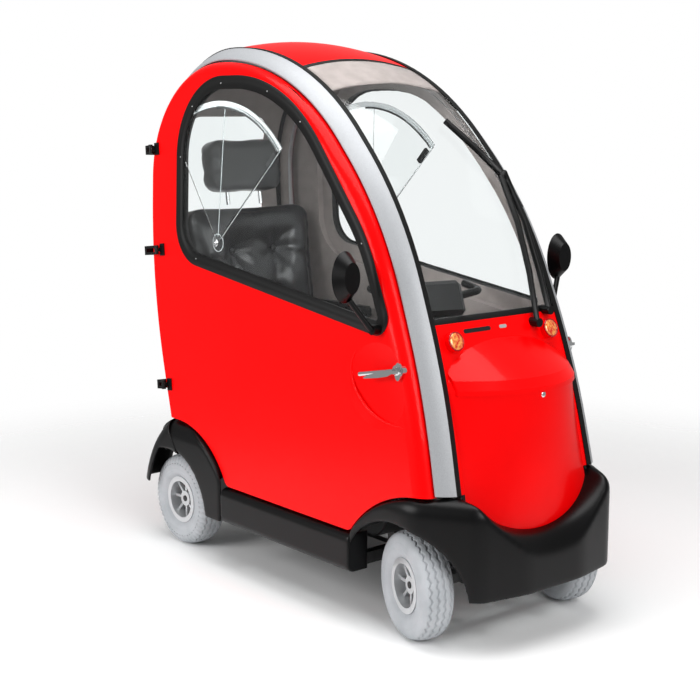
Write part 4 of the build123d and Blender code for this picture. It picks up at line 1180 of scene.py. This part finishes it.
def studio_floor():
    """A round white floor whose material turns clear toward the rim."""
    mesh = bpy.data.meshes.new("studio_floor")
    shape = bmesh.new()
    bmesh.ops.create_circle(shape, cap_ends=True, segments=FLOOR_SIDES, radius=FLOOR_FADE_R)
    shape.to_mesh(mesh)
    shape.free()
    floor = bpy.data.objects.new("studio_floor", mesh)
    bpy.context.scene.collection.objects.link(floor)
    material = finish("matt_white_floor", "#FAFAFA", Roughness=0.6)
    tree = material.node_tree
    place = add(tree, "ShaderNodeTexCoord").outputs["Object"]
    reach = add(tree, "ShaderNodeVectorMath", {0: place}, operation="LENGTH")
    fade = add(tree, "ShaderNodeMapRange", {"Value": reach.outputs["Value"]}, interpolation_type="SMOOTHSTEP")
    for socket, value in (("From Min", FLOOR_FULL_R), ("From Max", FLOOR_FADE_R * FADE_END), ("To Min", 1.0),
                          ("To Max", 0.0)):
        fade.inputs[socket].default_value = value
    tree.links.new(fade.outputs["Result"], tree.nodes["Principled BSDF"].inputs["Alpha"])
    mesh.materials.append(material)


studio_floor()
print("floor fades from", FLOOR_FULL_R, "to", FLOOR_FADE_R, "m")

# %% World
WORLD_LIGHT = 0.34


def studio_world():
    """A world that looks white and gives an even, weaker light."""
    world = bpy.data.worlds.new("white_studio")
    world.use_nodes = True
    bpy.context.scene.world = world
    tree = world.node_tree
    tree.nodes.clear()
    path = add(tree, "ShaderNodeLightPath")
    seen = add(tree, "ShaderNodeMath", {0: path.outputs["Is Camera Ray"],
                                        1: path.outputs["Is Transmission Ray"]}, operation="MAXIMUM")
    lit = add(tree, "ShaderNodeBackground", Color=linear("#FFFFFF"), Strength=WORLD_LIGHT)
    white = add(tree, "ShaderNodeBackground", Color=linear("#FFFFFF"), Strength=1.0)
    both = add(tree, "ShaderNodeMixShader", {0: seen.outputs[0], 1: lit.outputs[0], 2: white.outputs[0]})
    add(tree, "ShaderNodeOutputWorld", {"Surface": both.outputs[0]})


studio_world()
print("world light:", WORLD_LIGHT)

# %% [markdown]
# ## Soft boxes
# Three large area lamps stand above, in front and at the side. Large lamps give soft shadows and long, quiet
# highlights on the gelcoat.

# %% Soft boxes
SOFT_BOXES = [  # name, place, aimed at, width, height, watts
    ("overhead_box", (0.3, -0.3, 3.6), (0.0, 0.0, 0.6), 3.0, 2.4, 105),
    ("front_box", (3.4, -0.6, 2.2), (0.2, 0.0, 0.7), 1.6, 2.0, 62),
    ("side_box", (-0.8, -3.6, 1.9), (0.0, 0.0, 0.7), 2.4, 1.8, 85),
]
for name, at, aim, width, height, watts in SOFT_BOXES:
    lamp = bpy.data.lights.new(name, "AREA")
    lamp.shape = "RECTANGLE"
    lamp.size, lamp.size_y, lamp.energy = width, height, watts
    holder = bpy.data.objects.new(name, lamp)
    holder.location = at
    holder.rotation_euler = (Vector(aim) - Vector(at)).to_track_quat("-Z", "Y").to_euler()
    bpy.context.scene.collection.objects.link(holder)
bpy.context.scene.view_settings.view_transform = "Standard"
print("soft boxes:", len(SOFT_BOXES))
